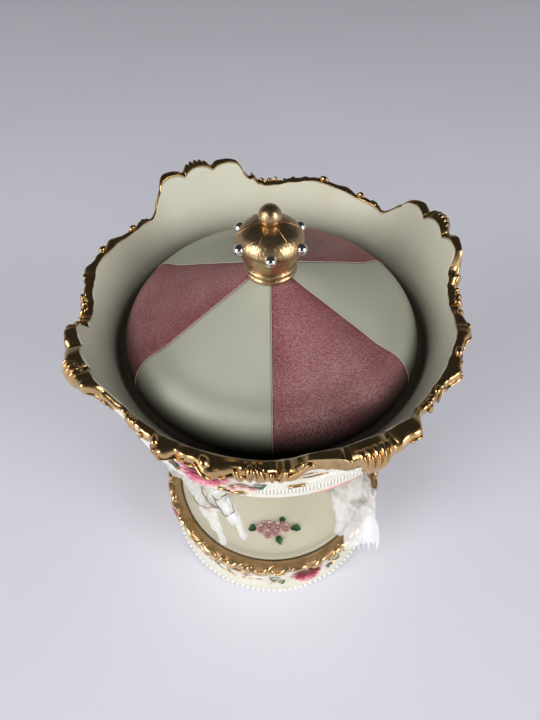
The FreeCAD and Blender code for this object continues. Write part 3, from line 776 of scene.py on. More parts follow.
def finishes():
    """How each finish is made: glazes, gilding, metals, painted petals and the rest."""
    k = {key: tuple(getattr(colours(), key)) for key in CarouselColours.__annotations__}
    ivory, cream, leaf = k["ivory"], k["cream"], k["leaf"]
    return {
        "ivory_glaze": (glazed, ivory, toned(ivory, 0.90, 0.87, 0.80), 0.40, 60.0, 0.04),
        "canopy_glaze": (canopy_glaze, ivory),
        # painted light: the base's glaze is a lighter copy of the ivory, standing in for the brighter light
        # on the base wall
        "base_glaze": (glazed, (0.67, 0.66, 0.58), (0.60, 0.57, 0.48), 0.35, 60.0, 0.1),
        "cream_floor": (glazed, cream, toned(cream, 0.93, 0.92, 0.86), 0.14, 25.0, 0.5),
        "bead_white": (glazed, (0.80, 0.79, 0.75), (0.70, 0.67, 0.62), 0.12, 200.0, 0.6),
        "pink_line": (glazed, (0.66, 0.27, 0.27), (0.74, 0.46, 0.42), 0.3, 150.0),
        "seam_piping": (glazed, (0.50, 0.40, 0.34), (0.34, 0.25, 0.21), 0.4, 160.0, 0.0),
        "black_plastic": (glazed, (0.015, 0.015, 0.017), (0.03, 0.03, 0.03), 0.45, 400.0, 0.0),
        "gold_leaf": (gilded, k["gold"], (0.30, 0.17, 0.06), 0.22),
        "rubbed_gold": (gilded, (0.74, 0.50, 0.26), (0.42, 0.25, 0.11), 0.5, 160.0, 0.7),
        "dark_gilt": (gilded, (0.24, 0.14, 0.06), (0.10, 0.06, 0.025), 0.30, 160.0, 0.7),
        "soft_gilt": (gilded, (0.78, 0.55, 0.29), (0.45, 0.28, 0.12), 0.30, 200.0, 0.5),
        "brushed_bronze": (brushed_bronze, k["bronze"], (0.30, 0.19, 0.09), 0.30, 420.0, 0.5),
        "brass": (gilded, (0.78, 0.55, 0.24), (0.42, 0.27, 0.10), 0.2, 700.0, 0.35),
        "steel": (gilded, (0.62, 0.63, 0.65), (0.40, 0.40, 0.42), 0.26, 700.0, 0.35),
        "silver": (gilded, (0.90, 0.89, 0.87), (0.62, 0.60, 0.58), 0.13, 700.0, 0.35),
        "leaf_green": (painted, [(0.0, dim(leaf, 0.6)), (0.6, leaf), (1.0, toned(leaf, 2.5, 1.6, 2))]),
        "peony_pink": (painted, [(0.0, k["pink"]), (0.5, (0.94, 0.30, 0.44)), (1.0, (0.98, 0.60, 0.68))],
                       0.3, [(k["coral"], 0.5, 0.62), (k["violet"], 0.42, 0.30)]),
        "dusty_rose": (painted, [(0.0, (0.55, 0.16, 0.18)), (0.55, k["dusty"]), (1.0, (0.95, 0.78, 0.74))],
                       0.35),
        "blush": (painted, [(0.0, (0.60, 0.16, 0.22)), (0.5, (0.80, 0.50, 0.46)),
                            (1.0, (0.86, 0.72, 0.62))]),
        "dome_panels": (dome_panels, k["rose"], k["panel"]),
        "clear_acrylic": (clear_acrylic,),
        "felt": (felt,),
        "table_top": (table_top, k["table"]),
    }


def finish_named(name):
    """The finish of that name, made when it is first needed."""
    build, *values = finishes()[name]
    return bpy.data.materials.get(name) or build(name, *values).mat


# operators


class CAROUSEL_OT_canopy(Operator):
    """The flared ivory canopy wall with its gutter, band and pink line"""
    bl_idname = "carousel.canopy"
    bl_label = "Canopy wall"

    def execute(self, context):
        k = sizes()
        foot, gutter, floor = mm(k.canopy_foot), mm(k.gutter), mm(k.gutter_height)
        edge = mm(k.canopy_edge)
        low, cove = foot + 0.7, 1.5
        lip = [(56.4, foot + 0.5), (56.4, foot), (edge - 0.5, foot), (edge, low)]
        # where the outer wall, the inner wall and the gutter start in the grid's v
        outer, inner, bottom = 0.08, 0.54, 0.92

        def place(u, v):
            az = 360 * u
            top = rim_height(az)
            if v < outer:
                r, z = lip[min(3, int(v / 0.02))]
                return polar(r, az, z)
            if v < inner:
                z = low + (top - 0.9 - low) * (v - outer) / (inner - outer)
                return polar(wall_out(z) - (0.4 if z > top - 2 else 0), az, z)
            if v < bottom:
                z = top + (floor + cove - top) * (v - inner) / (bottom - inner)
                return polar(wall_in(z), az, z)
            t = (v - bottom) / (1 - bottom)
            if t < 0.5:
                return polar(gutter - 2.0 * t, az, floor + cove * (1 - 2 * t))
            return polar(gutter - 1.0 - 7.0 * (2 * t - 1), az, floor)
        wall = shaped("canopy_wall", 900, 100, place)
        solids = [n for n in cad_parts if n.startswith("canopy_")]
        finish(wall, "carousel", RESIN, "canopy_glaze", *solids)
        arcs = []
        for a in QUARTERS:
            run = [polar(edge - 0.1, k.crest_azimuth - 12 + a + 18 * t / 16, foot + 0.9) for t in range(17)]
            arcs.append(tube("line", run, [(0.2, 0.15), (0.4, 0.35), (0.42, 0.35), (0.4, 0.35), (0.2, 0.15)],
                             side=UPRIGHT, along=40, round_=8))
        finish(join(arcs, "canopy_line"), "carousel", RESIN, "pink_line")
        return {"FINISHED"}


class CAROUSEL_OT_rim(Operator):
    """The gilt rolled rim of the canopy with its shells, leaves and scrolls"""
    bl_idname = "carousel.rim"
    bl_label = "Gilt rim"

    def execute(self, context):
        steps = 3600
        turns = [360 * i / steps for i in range(steps + 1)]
        points = []
        for az in turns:
            r, z = gilt(az, 0.4)
            points.append(polar(r, az, z))
        walk = [0.0]
        for a, b in zip(points, points[1:]):
            walk.append(walk[-1] + (b - a).length)
        stops = list(zip([w / walk[-1] for w in walk], turns))

        def azimuth(u):
            i = min(bisect.bisect_right(stops, (u, 1e9)), steps) - 1
            (a, p), (b, q) = stops[i], stops[i + 1]
            return p + (q - p) * (u - a) / (b - a)

        def moulding(u, v):
            az = azimuth(u % 1.0)
            r, z = gilt(az, v)
            p = polar(r, az, z)
            outer = max(0.0, math.sin(math.pi * clamp((v - 0.5) / 0.42)))
            full = math.sin(math.pi * clamp((v - 0.09) / 0.89))
            r += full * 0.3 * noise.noise(p * 0.21) + outer * (0.5 * noise.noise(p * 0.42) - 0.1)
            z += full * 0.2 * noise.noise(p * 0.33 + Vector((9, 0, 0)))
            if v > 0.8:
                z += 0.9 * noise.noise(Vector((az * 0.45, 3.1, 0)))
                z += 0.6 * noise.noise(Vector((az * 1.7, 7.7, 0)))
            return polar(within(r, az, FACE_REACH), az, z)
        finish(shaped("gilt_rim", 1500, 36, moulding), "carousel", GOLD, "gold_leaf")

        made = [crest_shell(a + 1.5) for a in CREST_AZIMUTHS]

        def add(template, put, lift, *rows):
            made.append(stamp(template, "ornaments", around(put, CREST_AZIMUTHS, rows, lift)))
        add(comma("stroke", 5.2, 0.92, 0.9), on_gilt, 0.1,
            (-28, 0.84, 26, 0.95), (-26, 0.78, 8, 1.1), (-24.2, 0.84, -8, 0.9), (26, 0.8, 0, 0.7))
        add(comma("stroke", 5.2, 0.92, -0.9), on_gilt, 0.1,
            (-22.6, 0.78, 14, 1.05), (-20.8, 0.84, -4, 0.9), (-18.8, 0.78, -22, 0.9))
        add(scroll("run_scroll", 9.0, 7.0, 1, 0.85, 13), on_gilt, 0.1,
            (37, 0.70, -6, 0.72), (53, 0.70, 186, 0.72), (13, 0.70, 160, 0.55))
        add(scroll("curl", 12.0, 3.0, -1, 0.75, 6), on_gilt, 0.2,
            (31.5, 0.66, 40, 0.9), (46, 0.66, 150, 1.0), (42, 0.80, 20, 0.8), (-18, 0.70, 20, 0.8))
        add(scroll("thread", 6.0, 9.0, -1, 0.36, 11), on_canopy, 0.1,
            (-13, 152.0, 8), (-9, 148.5, -14), (12, 152.5, 168), (30, 152.0, 10), (52, 151.0, 170))
        add(lump(14, 10, 4.6, 1.9, 1.0), on_gilt, -0.1, (-15, 0.72, 0))
        add(lump(14, 10, 1, 1, 1), on_gilt, -0.4,
            (31.5, 0.36, 0, 2.0), (46, 0.36, 0, 2.1), (68.5, 0.40, 0, 1.5), (57.5, 0.5, 0, 1.2),
            (-18.5, 0.5, 0, 1.1))
        finish(join(made, "rim_ornaments"), "carousel", GOLD, "gold_leaf")
        return {"FINISHED"}


class CAROUSEL_OT_canopy_flowers(Operator):
    """Blossoms, leaves and the short ribs on the outside of the canopy"""
    bl_idname = "carousel.canopy_flowers"
    bl_label = "Canopy flowers"

    def execute(self, context):
        spots = [sizes().crest_azimuth - 45 + a for a in QUARTERS]

        def add(template, name, slot, coat, lift, *rows):
            finish(stamp(template, name, around(on_canopy, spots, rows, lift)), "carousel", slot, coat)
        add(peony(), "canopy_blossoms", RESIN, "peony_pink", 0.0, (0.5, 145.8, 12, 9.4))
        add(daisy(), "canopy_daisies", RESIN, "blush", 0.0,
            (11.5, 140.2, 0, 2.8), (8.5, 137.4, 40, 2.2), (15, 138.4, 70, 2.0), (-12, 139.5, 70, 2.4))
        add(leaf_blade(), "canopy_leaves", RESIN, "leaf_green", 0.1,
            (15, 141.6, -80, 4.6), (-9, 140.5, 110, 5.0), (-13, 149.5, 60, 4.0), (62, 146.0, -70, 4.4))
        coils = [scroll("knot", 8.0, 8.0, 1, 0.55, 6) for _ in range(2)]
        lay(coils[1], turn_z(180, 0.2))
        add(join(coils, "knot"), "canopy_knots", GOLD, "gold_leaf", 0.3,
            (6, 134.4, 0), (10, 134.0, 20), (-9, 137.2, 20), (28, 140.6, 8))
        add(scroll("lace", 8.0, 9.0, -1, 0.4, 6.5), "canopy_lace", RESIN, "bead_white", 0.0,
            (34, 142.6, 8), (38, 144.6, 150), (42, 142.8, -8), (45, 145.4, 165), (49, 143.4, 20),
            (40, 147.0, 30), (47, 148.0, 190), (53, 145.6, 10), (60, 143.6, 165), (66, 145.0, 20))
        add(lump(8, 6, 0.46, 2.3, 0.7), "canopy_ribs", RESIN, "bead_white", 0.0,
            *[(15 + 1.12 * i, 136.0, 0) for i in range(52)])
        return {"FINISHED"}


class CAROUSEL_OT_dome(Operator):
    """The roof dome with six panels and piped seams"""
    bl_idname = "carousel.dome"
    bl_label = "Roof dome"

    def execute(self, context):
        k = sizes()
        foot, r0 = mm(k.gutter_height), mm(k.dome)
        outline = [(r0 - 1, foot), (r0, foot + 0.5), (r0 - 0.4, foot + 4.5), (r0 - 3.1, foot + 9.5),
                   (r0 - 7.2, foot + 12.8), (41, 161.8), (33, 165.5), (24, 169.7), (15, 173.8),
                   (6, mm(k.dome_top))]

        def place(u, v):
            r, z = trace(outline, v)
            az = 360 * u
            from_seam = abs((az + 30) % 60 - 30)
            dip = math.exp(-(math.radians(from_seam) * r / 0.5) ** 2)
            return polar(r, az, z - 0.18 * dip)
        dome = shaped("roof_dome_panels", 720, 40, place)
        finish(dome, "carousel", "rose_ivory_resin", "dome_panels", "roof_dome")
        line = [trace(outline[1:], t / 24) for t in range(25)]
        seams = []
        for i in range(6):
            points = [polar(r + 0.03, 60 * i, z + 0.05) for r, z in line]
            seams.append(tube("seam", points, [0.15] * 25, side=UPRIGHT, along=48, round_=6))
        finish(join(seams, "dome_seams"), "carousel", "rose_ivory_resin", "seam_piping")
        return {"FINISHED"}


class CAROUSEL_OT_crown(Operator):
    """The brushed crown finial with its ball, rings and ridged cap"""
    bl_idname = "carousel.crown"
    bl_label = "Crown"

    def execute(self, context):
        foot = mm(sizes().dome_top)
        ball_r, ball_z, proud = 3.65, 198.3, 1.006
        outline = [(r, foot + h) for r, h in (
            (8.5, -0.6), (8.7, 0), (8.8, 0.7), (8.4, 1.3), (8.1, 1.5), (8.5, 1.9), (8.7, 2.6), (8.4, 3.2),
            (8.1, 3.4), (8.3, 4.0), (9.0, 5.6), (9.9, 7.4), (10.6, 9.2), (10.9, 11.0), (10.5, 13.2),
            (8.9, 15.4), (6.2, 16.9), (3.6, 17.6), (2.8, 17.8))]

        def place(u, v):
            r, z = trace(outline, v)
            return polar(r, 360 * u, z)

        def knob(u, v):
            a = math.pi * v
            return polar(ball_r * math.sin(a), 360 * u, ball_z - ball_r * math.cos(a))
        metal = [shaped("crown_body", 192, 96, place), shaped("crown_ball", 40, 24, knob)]
        finish(join(metal, "crown"), "carousel", GOLD, "brushed_bronze", "crown_finial")
        wires = []
        for i in range(6):
            line = [place((60 * i - 24) / 360, 0.99 - 0.21 * t / 16) for t in range(17)]
            line = [Vector((proud * p.x, proud * p.y, p.z + 0.06)) for p in line]
            taper = [0.16, 0.14, 0.13, 0.12, 0.05]
            wires.append(tube("wire", line, taper, side=UPRIGHT, along=40, round_=6))
        finish(join(wires, "crown_wires"), "carousel", GOLD, "gold_leaf")
        return {"FINISHED"}


class CAROUSEL_OT_base(Operator):
    """The ivory base with its gilt rim, blossoms, leaves and beads"""
    bl_idname = "carousel.base"
    bl_label = "Base"

    def execute(self, context):
        k = sizes()
        r, foot, inner = mm(k.base), mm(k.base_foot), mm(k.rim_inner)
        spots = [18 + a for a in QUARTERS]
        wall = turned("base_wall", [
            (52.7, 1.3), (foot - 0.5, 1.3), (foot - 0.1, 2.2), (foot, 3.6), (foot - 0.5, 5.6),
            (r + 0.1, 7.4), (r - 0.6, 9.0), (r - 0.7, 14), (r - 0.5, 20), (r - 0.1, 26), (r + 0.3, 30.0),
            (r + 0.4, 33.0), (r - 0.8, 34.6), (r - 2.6, 34.4), (inner + 0.4, 33.0), (inner + 0.1, 31.5),
            (inner + 0.1, 29.6), (20, 29.5)], 240)
        finish(wall, "base", RESIN, "base_glaze", "base_shell")

        def on_base(az0, z0, tilt=0.0, lift=0.0, scale=1.0):
            def put(x, y, h):
                z = z0 + y
                out = r - 0.6 + 0.9 * max(0, z - 16) / 14 + 1.4 * max(0, 7.5 - z) / 4
                return polar(out + h + lift, az0 + math.degrees(x / r), z)
            return tilted(tilt, scale, put)

        def edge(az, v):
            wave = math.sin(math.radians(az * 12)) * math.sin(math.radians(az * 4 + 20))
            low = 29.6 + 1.1 * wave
            return trace([(r + 0.1, low), (r + 0.8, low + 0.5), (r + 1.15, low + 1.6),
                          (r + 1.25, 33.0 + 0.4 * wave), (r + 0.5, 34.9 + 0.5 * wave),
                          (r - 1.2, 35.5 + 0.35 * wave), (r - 2.6, 35.0), (inner + 0.6, 33.3),
                          (inner + 0.25, 32.4), (inner + 0.3, 31.4)], v)

        def rolled(u, v):
            r0, z0 = edge(360 * u, v)
            dent = math.sin(math.pi * v) * 0.35
            return polar(r0, 360 * u, z0 + dent * noise.noise(polar(16, 360 * u, 6 * v)))

        def on_edge(az0, v0, tilt=0.0, lift=0.0, scale=1.0):
            girth, step = 14, 0.02

            def put(x, y, h):
                az = az0 + math.degrees(x / r)
                v = min(max(v0 + y / girth, step), 0.9)
                (r0, z0), (r1, z1) = edge(az, v - step), edge(az, v + step)
                n = (h + lift) / math.hypot(r1 - r0, z1 - z0)
                return polar((r0 + r1) / 2 + n * (z1 - z0), az, (z0 + z1) / 2 - n * (r1 - r0))
            return tilted(tilt, scale, put)
        finish(shaped("base_gilt_rim", 720, 30, rolled), "base", GOLD, "rubbed_gold")

        cast = []

        def add(template, put, lift, *rows):
            cast.append(stamp(template, "ornaments", around(put, spots, rows, lift)))
        add(scroll("base_scroll", 9.0, 7.0, 1, 1.0, 12), on_base, 0.3,
            (-24, 27.5, 15), (24, 27.5, 165), (-38, 26.0, -10), (40, 26.0, 190))
        add(scroll("base_curl", 12.0, 3.0, -1, 1.25, 8), on_edge, 0.3,
            (-46, 0.34, 40), (-38, 0.42, 200), (-30, 0.36, 160), (-22, 0.42, 30), (-14, 0.34, 20),
            (-5, 0.4, 170), (5, 0.38, 10), (14, 0.34, 200), (22, 0.42, 150), (30, 0.36, 30),
            (37.5, 0.42, 340))
        add(scroll("base_thread", 6.0, 9.0, -1, 0.4, 12), on_base, 0.1,
            (-30, 13.0, 8), (30, 13.0, 172), (-45, 11.0, -20), (-18, 10.5, 30), (18, 10.5, 150))
        fan = [lay(comma("stroke", 5.5 - 0.5 * abs(i), 0.7, 0.8 * i + 0.2), turn_z(-11 * i))
               for i in range(-2, 3)]
        add(join(fan, "base_fan"), on_base, 0.6, (-21, 29.0, 0), (21, 29.0, 0), (45, 29.0, 0))
        places = []
        for i in range(30):
            swing, height, size = (noise.noise(Vector(p)) for p in
                                   ((i * 1.9, 4.5, 0), (i * 3.3, 8.5, 0), (i * 2.7, 0.5, 0)))
            places.append(on_edge(360 * i / 30 + 3.0 * swing, 0.4 + 0.1 * height, 40 * (i % 3 - 1), -0.1,
                                  1.0 + 0.35 * size))
        cast.append(stamp(lump(12, 8, 2.0, 1.5, 1.15), "lumps", places))
        finish(join(cast, "base_ornaments"), "base", GOLD, "soft_gilt")

        def dress(template, name, coat, lift, *rows):
            finish(stamp(template, name, around(on_base, spots, rows, lift)), "base", RESIN, coat)
        dress(peony(), "base_blossoms", "peony_pink", 0.0, (0, 19.0, 10, 8.8))
        dress(leaf_blade(), "base_leaves", "leaf_green", 0.1,
              (-15, 18, 80, 6.0), (15, 18, -80, 6.0), (-12, 13, 120, 5.0), (12, 13, -120, 5.0),
              (-40, 19, 70, 4.5), (38, 19, -70, 4.5))
        dress(daisy(), "base_daisies", "blush", 0.0, (-33, 19.5, 30, 2.4), (33, 19.5, 30, 2.4))
        places = []
        for i in range(72):
            shift = noise.noise(Vector((i * 2.3, 1.5, 0)))
            height, tilt = 10.5 + 5.5 * (i % 3) + 1.5 * shift, 70 * (i % 5) + 30 * shift
            places.append(on_base(5 * i + 3 * shift, height, tilt, -0.05))
        lace = stamp(scroll("lace", 8.0, 9.0, -1, 0.34, 7), "base_lace", places)
        finish(lace, "base", RESIN, "bead_white")

        def standing(azimuth):
            c = polar(foot - 0.35, azimuth, 3.6)
            return lambda x, y, z: Vector((x, y, z)) + c
        bead, n = mm(k.bead), k.bead_count
        places = [standing(360 * i / n) for i in range(n)]
        beads = stamp(lump(8, 6, bead, bead, 1.45 * bead), "base_beads", places)
        finish(beads, "base", "pearl", "bead_white")
        return {"FINISHED"}


# the azimuth of each pole, and how far its horse is turned out of the ring
MOUNTS = ((-56, 0), (64, 31), (184, 0))


class CAROUSEL_OT_platform(Operator):
    """The cream floor with its rose sprays, the column and the poles"""
    bl_idname = "carousel.platform"
    bl_label = "Platform"

    def execute(self, context):
        k = sizes()
        z, r, top = mm(k.floor), mm(k.platform), 131.1
        spray_r, waist_z = 35.0, 82
        disc = turned("floor_disc", [
            (r - 0.8, 30.1), (r, 30.4), (r, z - 0.1), (r - 0.2, z + 0.35), (r - 0.9, z + 0.6),
            (r - 2.0, z + 0.35), (r - 3.5, z + 0.05), (r - 6, z), (25, z), (3, z)], 240)
        finish(disc, "carousel", "cream_resin", "cream_floor", "platform_disc")

        def on_spray(az, x, y, tilt, scale, lift=0.0):
            c = polar(spray_r, az - 0.8, z + lift)
            turn = turn_z(az)
            return tilted(tilt, scale, lambda p, q, h: c + turn(x + p, y + q, h))
        sprays = [1 + 120 * i for i in range(3)]
        roses = [on_spray(a, 0.94 * x, 0.94 * y, t, 0.92 * q) for a in sprays for x, y, t, q in
                 ((-7.0, 0.2, 0, 2.9), (-2.4, 1.6, 40, 3.1), (2.2, 0.9, 70, 3.0), (6.6, 0.2, 20, 2.7),
                  (-3.2, -2.9, 10, 2.9), (1.0, -2.3, 50, 2.2), (-5.4, 2.6, 30, 2.0), (4.6, 2.6, 60, 1.9))]
        finish(stamp(rose(), "floor_roses", roses), "carousel", "cream_resin", "dusty_rose")
        leaves = [on_spray(a, x, y, t, q, 0.15) for a in sprays for x, y, t, q in
                  ((-9.0, 0.0, 85, 4.4), (8.6, 0.2, -95, 5.6), (4.2, 2.2, -8, 4.6), (1.6, -3.2, 200, 5.4),
                   (8.8, -0.6, -70, 4.2), (-9.2, 0.6, 60, 3.6))]
        finish(stamp(leaf_blade(), "floor_leaves", leaves), "carousel", "cream_resin", "leaf_green")

        def both_ends(middle, *half):
            """Radii at heights over the floor, the same under the ceiling, and one half way up."""
            return ([(rad, z + h) for rad, h in half] + [(middle, waist_z)]
                    + [(rad, top - h) for rad, h in reversed(half)])
        shaft = turned("column_shaft", both_ends(
            5.0, (3.5, 0), (8.9, 0), (8.9, 1.6), (7.6, 2.2), (8.2, 3.2), (7.4, 4.2), (6.2, 5.6), (5.6, 9),
            (5.2, 40)), 96)
        finish(shaft, "carousel", "cream_resin", "ivory_glaze", "column")
        rings = []
        for rad, at in both_ends(5.2, (7.8, 2.2), (7.6, 4.4), (5.55, 20)):
            rings.append(turned("ring", [(rad - 0.8, at - 0.8), (rad + 0.35, at - 0.7), (rad + 0.7, at),
                                         (rad + 0.35, at + 0.7), (rad - 0.8, at + 0.8)], 72))
        finish(join(rings, "column_rings"), "carousel", GOLD, "gold_leaf")

        for i, (az, _) in enumerate(MOUNTS, 1):
            c = polar(mm(k.pole_ring), az, 0)

            def twist(u, v):
                h = z - 1 + (top + 1 - z) * v
                a = 2 * math.pi * u
                rad = mm(k.pole) * (0.86 + 0.14 * math.cos(2 * a - h * 0.75))
                return c + Vector((rad * math.cos(a), rad * math.sin(a), h))
            rod = shaped("twisted_pole_%d" % i, 20, 300, twist)
            finish(rod, "carousel", "brass", "brass", "pole_%d" % i)
        return {"FINISHED"}


class CAROUSEL_OT_horses(Operator):
    """Three leaping horses of clear acrylic"""
    bl_idname = "carousel.horses"
    bl_label = "Horses"

    def execute(self, context):
        k = sizes()
        horse = self.carve()
        straps = self.harness(horse)
        for i, (az, yaw) in enumerate(MOUNTS, 1):
            turn = turn_z(az + yaw)
            c = polar(mm(k.pole_ring), az, mm(k.horse_height))
            copies = []
            for source, name in ((horse, "clear_horse_%d"), (straps, "gilt_harness_%d")):
                copy = lay(duplicate(source), lambda x, y, h: turn(x, y, h) + c)
                copy.name = copy.data.name = name % i
                copies.append(copy)
            finish(copies[0], "carousel", "clear_acrylic", "clear_acrylic", "horse_%d" % i)
            finish(copies[1], "carousel", GOLD, "dark_gilt")
        bpy.data.objects.remove(horse)
        bpy.data.objects.remove(straps)
        return {"FINISHED"}

    def carve(self):
        """One horse about the origin, facing +X: limbs and locks under one skin, with a faint relief."""
        parts = [
            tube("trunk",
                 [(-18.5, 0, 2), (-13, 0, 1.2), (-6, 0, 0), (2, 0, -0.4), (9, 0, 0.4), (15, 0, 2.5)],
                 [(5, 5), (8.6, 8.3), (8.0, 7.9), (7.8, 7.7), (8.2, 7.6), (5.5, 5)], along=30, round_=24),
            tube("neck", [(9, 0, 2), (13.5, 0, 8), (17, 0, 14.5), (19.5, 0, 21)],
                 [(8, 5.8), (6.4, 4.4), (5.0, 3.4), (3.8, 2.9)], along=20, round_=16),
            tube("head", [(17.5, 0, 22.5), (21, 0, 21.5), (25.5, 0, 17.5), (29, 0, 14), (31, 0, 12.2)],
                 [(3.2, 2.6), (4.2, 3.2), (3.3, 2.6), (2.5, 2.2), (1.9, 1.9)], along=20, round_=16)]
        for s in (1, -1):
            parts.append(tube("ear", [(18.5, s * 1.7, 23.5), (18.8, s * 2.1, 26), (19.4, s * 2.3, 28)],
                              [(1.1, 0.8), (1.0, 0.7), (0.3, 0.3)], along=10, round_=8))
        fore, hind = 4.0, 6.2
        legs = (
            (fore, (10.5, -3.6, -2.5), (15.5, -4.4, -6.8), (19.5, -4.6, -9.8), (21.4, -4.4, -14.5),
             (23.0, -4.2, -19.5), (24.2, -4.2, -22)),
            (fore, (10.5, 3.6, -2.0), (16.5, 4.4, -5.0), (22.0, 4.6, -7.4), (25.2, 4.6, -11),
             (28.0, 4.5, -14.5), (29.6, 4.5, -16.4)),
            (hind, (-13, -4.6, -1.5), (-17, -5.8, -5.0), (-20.5, -6.2, -8.8), (-23.2, -6.2, -13.8),
             (-25.2, -6.0, -18.8), (-26.2, -6.0, -21)),
            (hind, (-12.5, 4.6, -2), (-15.5, 5.8, -6), (-18.5, 6.2, -9.5), (-20.0, 6.2, -14.5),
             (-21.2, 6.0, -19.5), (-21.8, 6.0, -22)))
        for thick, *line in legs:
            radii = [thick * w for w in (1, 0.72, 0.55, 0.42, 0.44, 0.5)]
            parts.append(tube("leg", line, radii, along=28, round_=12))
        for i in range(8):
            o = 0.9 * (i - 3.5)
            drop = 4.0 * (i % 2) + 3.0 * noise.noise(Vector((i * 1.7, 2.5, 0)))
            line = [(-17, o * 0.5, 4.5), (-22.5, o * 1.1, 6.0 - 0.2 * abs(o)), (-28.5, o * 1.9, 2.5),
                    (-32.5, o * 2.3, -4.5), (-35.5, o * 2.4, -14 + drop)]
            parts.append(tube("tail", line, [1.6, 1.6, 1.35, 1.15, 0.2], along=24, round_=8))
        for i in range(8):
            x, y, z = Vector((18.6, 0, 24.5)).lerp(Vector((6.0, 0, 8.5)), i / 7)
            s = 1 if i % 2 else -1
            line = [(x, y, z), (x - 2.4, s * 1.6, z + 0.6), (x - 4.2, s * 2.8, z - 2.2),
                    (x - 6.0, s * 3.2, z - 3.6)]
            parts.append(tube("lock", line, [1.4, 1.3, 1.0, 0.35], along=14, round_=8))
        parts.append(tube("saddle", [(-6.5, 0, 7.2), (-3, 0, 7.6), (1, 0, 7.2), (5.5, 0, 8.2)],
                          [(1.2, 4.0), (2.0, 5.2), (1.7, 5.0), (1.4, 3.4)], along=16, round_=14))
        horse = join(parts, "horse")
        pick([horse])
        for name, kind, values in (("skin", "REMESH", {"mode": "VOXEL", "voxel_size": 0.5 * MM}),
                                   ("soften", "SMOOTH", {"factor": 0.5, "iterations": 2})):
            mod = horse.modifiers.new(name, kind)
            for key, value in values.items():
                setattr(mod, key, value)
            bpy.ops.object.modifier_apply(modifier=name)
        outward = [v.normal.copy() for v in horse.data.vertices]
        for v, out in zip(horse.data.vertices, outward):
            p = v.co / MM
            v.co += out * (0.65 * MM * noise.noise(Vector((0.42 * p.x, 0.42 * p.y, 0.07 * p.z))))
        tidy(horse)
        return horse

    def harness(self, horse):
        """Gilt bridle, reins and breast strap, drawn onto the horse's skin."""
        lines = []
        for side in (1, -1):
            lines += [((20.0, 3.2 * side, 23.0), (24.0, 3.0 * side, 18.5), (27.0, 2.4 * side, 15.5)),
                      ((26.6, 2.6 * side, 15.8), (20, 4.4 * side, 10), (13, 5.4 * side, 9),
                       (6.5, 4.0 * side, 9)),
                      ((5, 8 * side, 1.5), (11, 7.4 * side, 0.5), (16, 4.0 * side, 3.5), (17.5, 0, 5.0))]
        lines += [((27.4, -2.6, 15), (28.2, 0, 17.2), (27.4, 2.6, 15), (25.6, 0, 12.4), (27.4, -2.6, 15)),
                  ((20.4, -3.2, 21.5), (22.8, 0, 23.4), (20.4, 3.2, 21.5))]
        steps, above = 16, 0.12
        made = []
        for line in lines:
            points = []
            for i in range(steps + 1):
                _, where, normal, _ = horse.closest_point_on_mesh(spline(line, i / steps) * MM)
                points.append(tuple((where + normal * above * MM) / MM))
            made.append(tube("strap", points, [0.18] * 5, side=(0.3, 0.9, 0.3), along=34, round_=6))
        return join(made, "harness")


class CAROUSEL_OT_fittings(Operator):
    """Finishes for the fittings and the movement"""
    bl_idname = "carousel.fittings"
    bl_label = "Fittings"

    def execute(self, context):
        coats = {"crown_pearls": "silver", "felt_ring": "felt", "ceiling_plate": "ivory_glaze"}
        for node in ("bottom_cover", "governor_fly", "thrust_washer"):
            coats[node] = "black_plastic"
        for node in ("main_spindle", "cover_screws", "bedplate_screws", "comb", "comb_screws",
                     "cylinder_shaft", "winding_arbor", "mainspring", "clutch_spring"):
            coats[node] = "steel"
        for node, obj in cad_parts.items():
            if obj.hide_render:
                continue
            obj.data.materials.clear()
            obj.data.materials.append(finish_named(coats.get(node, "brass")))
        return {"FINISHED"}


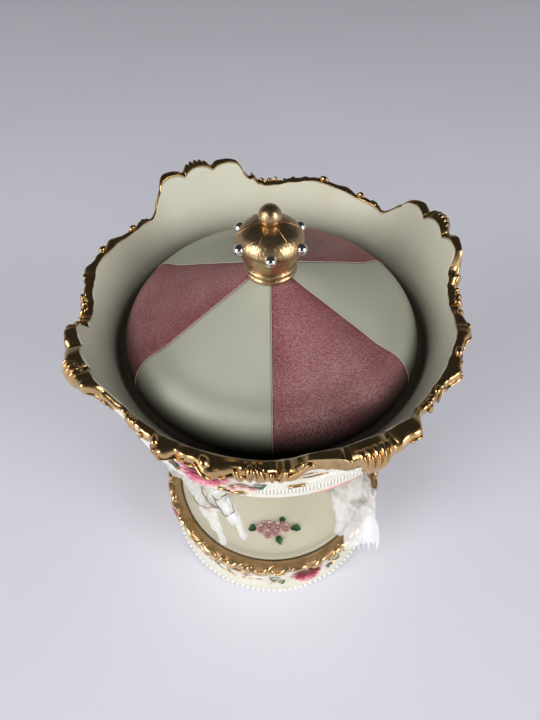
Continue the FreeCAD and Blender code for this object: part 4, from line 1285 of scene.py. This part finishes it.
class CAROUSEL_OT_stage(Operator):
    """The table, the soft lamps, the air and the camera"""
    bl_idname = "carousel.stage"
    bl_label = "Stage"

    def execute(self, context):
        clear_selection()
        bpy.ops.mesh.primitive_plane_add(size=6, location=(0, 0, 0))
        table = context.object
        table.name = "table"
        table.data.materials.append(finish_named("table_top"))

        air = colours().air
        world = bpy.data.worlds.new("air")
        context.scene.world = world
        world.use_nodes = True
        n = Nodes(world.node_tree)
        up = n.node("SeparateXYZ", Vector=n.node("TexCoord").outputs["Generated"]).outputs["Z"]
        fade = n.ramp(up, [(0.02, tuple(air)), (0.42, dim(air, 0.08))])
        n.fill(world.node_tree.nodes["Background"].inputs["Color"], fade)

        self.lamp("left window", (0.9, 1.3), 29.5, (-1.75, -1.1, 0.95), True)
        self.lamp("right window", (0.9, 1.3), 24.0, (1.75, -1.1, 0.95), True)
        self.lamp("room", (4.0, 2.0), 50.0, (0, -2.15, 1.6), False)
        self.camera(context.scene)
        context.scene.view_settings.view_transform = "Standard"
        return {"FINISHED"}

    def lamp(self, name, size, power, place, mirrored):
        """A soft lamp aimed at the middle of the part; metal mirrors it only where mirrored says so."""
        data = bpy.data.lights.new(name, "AREA")
        data.shape = "RECTANGLE"
        data.size, data.size_y = size
        data.energy = power
        data.color = (1.0, 0.985, 0.96)
        obj = bpy.data.objects.new(name, data)
        bpy.context.scene.collection.objects.link(obj)
        obj.location = place
        obj.visible_camera = False
        obj.visible_transmission = False
        obj.visible_glossy = mirrored
        obj.rotation_euler = (Vector((0, 0, 0.1)) - Vector(place)).to_track_quat("-Z", "Y").to_euler()

    def camera(self, scene):
        """The photograph's camera: focal length in pixels of a picture 720 high, place in millimetres."""
        focal, picture_height, film = 506.18, 720, 36.0
        place = Vector((-0.13, -128.73, 290.60))
        pitch, yaw, roll = math.radians(51.55), math.radians(-0.24), math.radians(-0.87)
        ahead = Vector((math.sin(yaw) * math.cos(pitch), math.cos(yaw) * math.cos(pitch), -math.sin(pitch)))
        right = ahead.cross(Vector(UPRIGHT)).normalized()
        up = right.cross(ahead)
        across = math.cos(roll) * right + math.sin(roll) * up
        above = -math.sin(roll) * right + math.cos(roll) * up
        data = bpy.data.cameras.new("camera")
        data.sensor_fit = "VERTICAL"
        data.sensor_height = film
        data.sensor_width = 27.0
        data.lens = focal / picture_height * film
        data.clip_start = 0.01
        camera = bpy.data.objects.new("camera", data)
        scene.collection.objects.link(camera)
        turn = Matrix((across, above, -ahead)).transposed().to_4x4()
        camera.matrix_world = Matrix.Translation(place * MM) @ turn
        scene.camera = camera


OPERATORS = (CAROUSEL_OT_stage, CAROUSEL_OT_canopy, CAROUSEL_OT_rim, CAROUSEL_OT_canopy_flowers,
             CAROUSEL_OT_dome,
             CAROUSEL_OT_crown, CAROUSEL_OT_base, CAROUSEL_OT_platform, CAROUSEL_OT_horses,
             CAROUSEL_OT_fittings)


class CAROUSEL_PT_panel(Panel):
    """Sizes, colours and pieces of the carousel"""
    bl_label = "Carousel"
    bl_idname = "CAROUSEL_PT_panel"
    bl_space_type = "VIEW_3D"
    bl_region_type = "UI"
    bl_category = "Carousel"

    def draw(self, context):
        for op in OPERATORS:
            self.layout.operator(op.bl_idname)
        for group in (context.scene.carousel_sizes, context.scene.carousel_colours):
            for key in group.__annotations__:
                self.layout.prop(group, key)


CLASSES = (CarouselSizes, CarouselColours, CAROUSEL_PT_panel) + OPERATORS


def register():
    for c in CLASSES:
        bpy.utils.register_class(c)
    bpy.types.Scene.carousel_sizes = PointerProperty(type=CarouselSizes)
    bpy.types.Scene.carousel_colours = PointerProperty(type=CarouselColours)


def unregister():
    del bpy.types.Scene.carousel_colours
    del bpy.types.Scene.carousel_sizes
    for c in reversed(CLASSES):
        bpy.utils.unregister_class(c)


def main():
    register()
    for op in OPERATORS:
        getattr(bpy.ops.carousel, op.bl_idname.split(".")[1])()


if __name__ == "__main__":
    main()
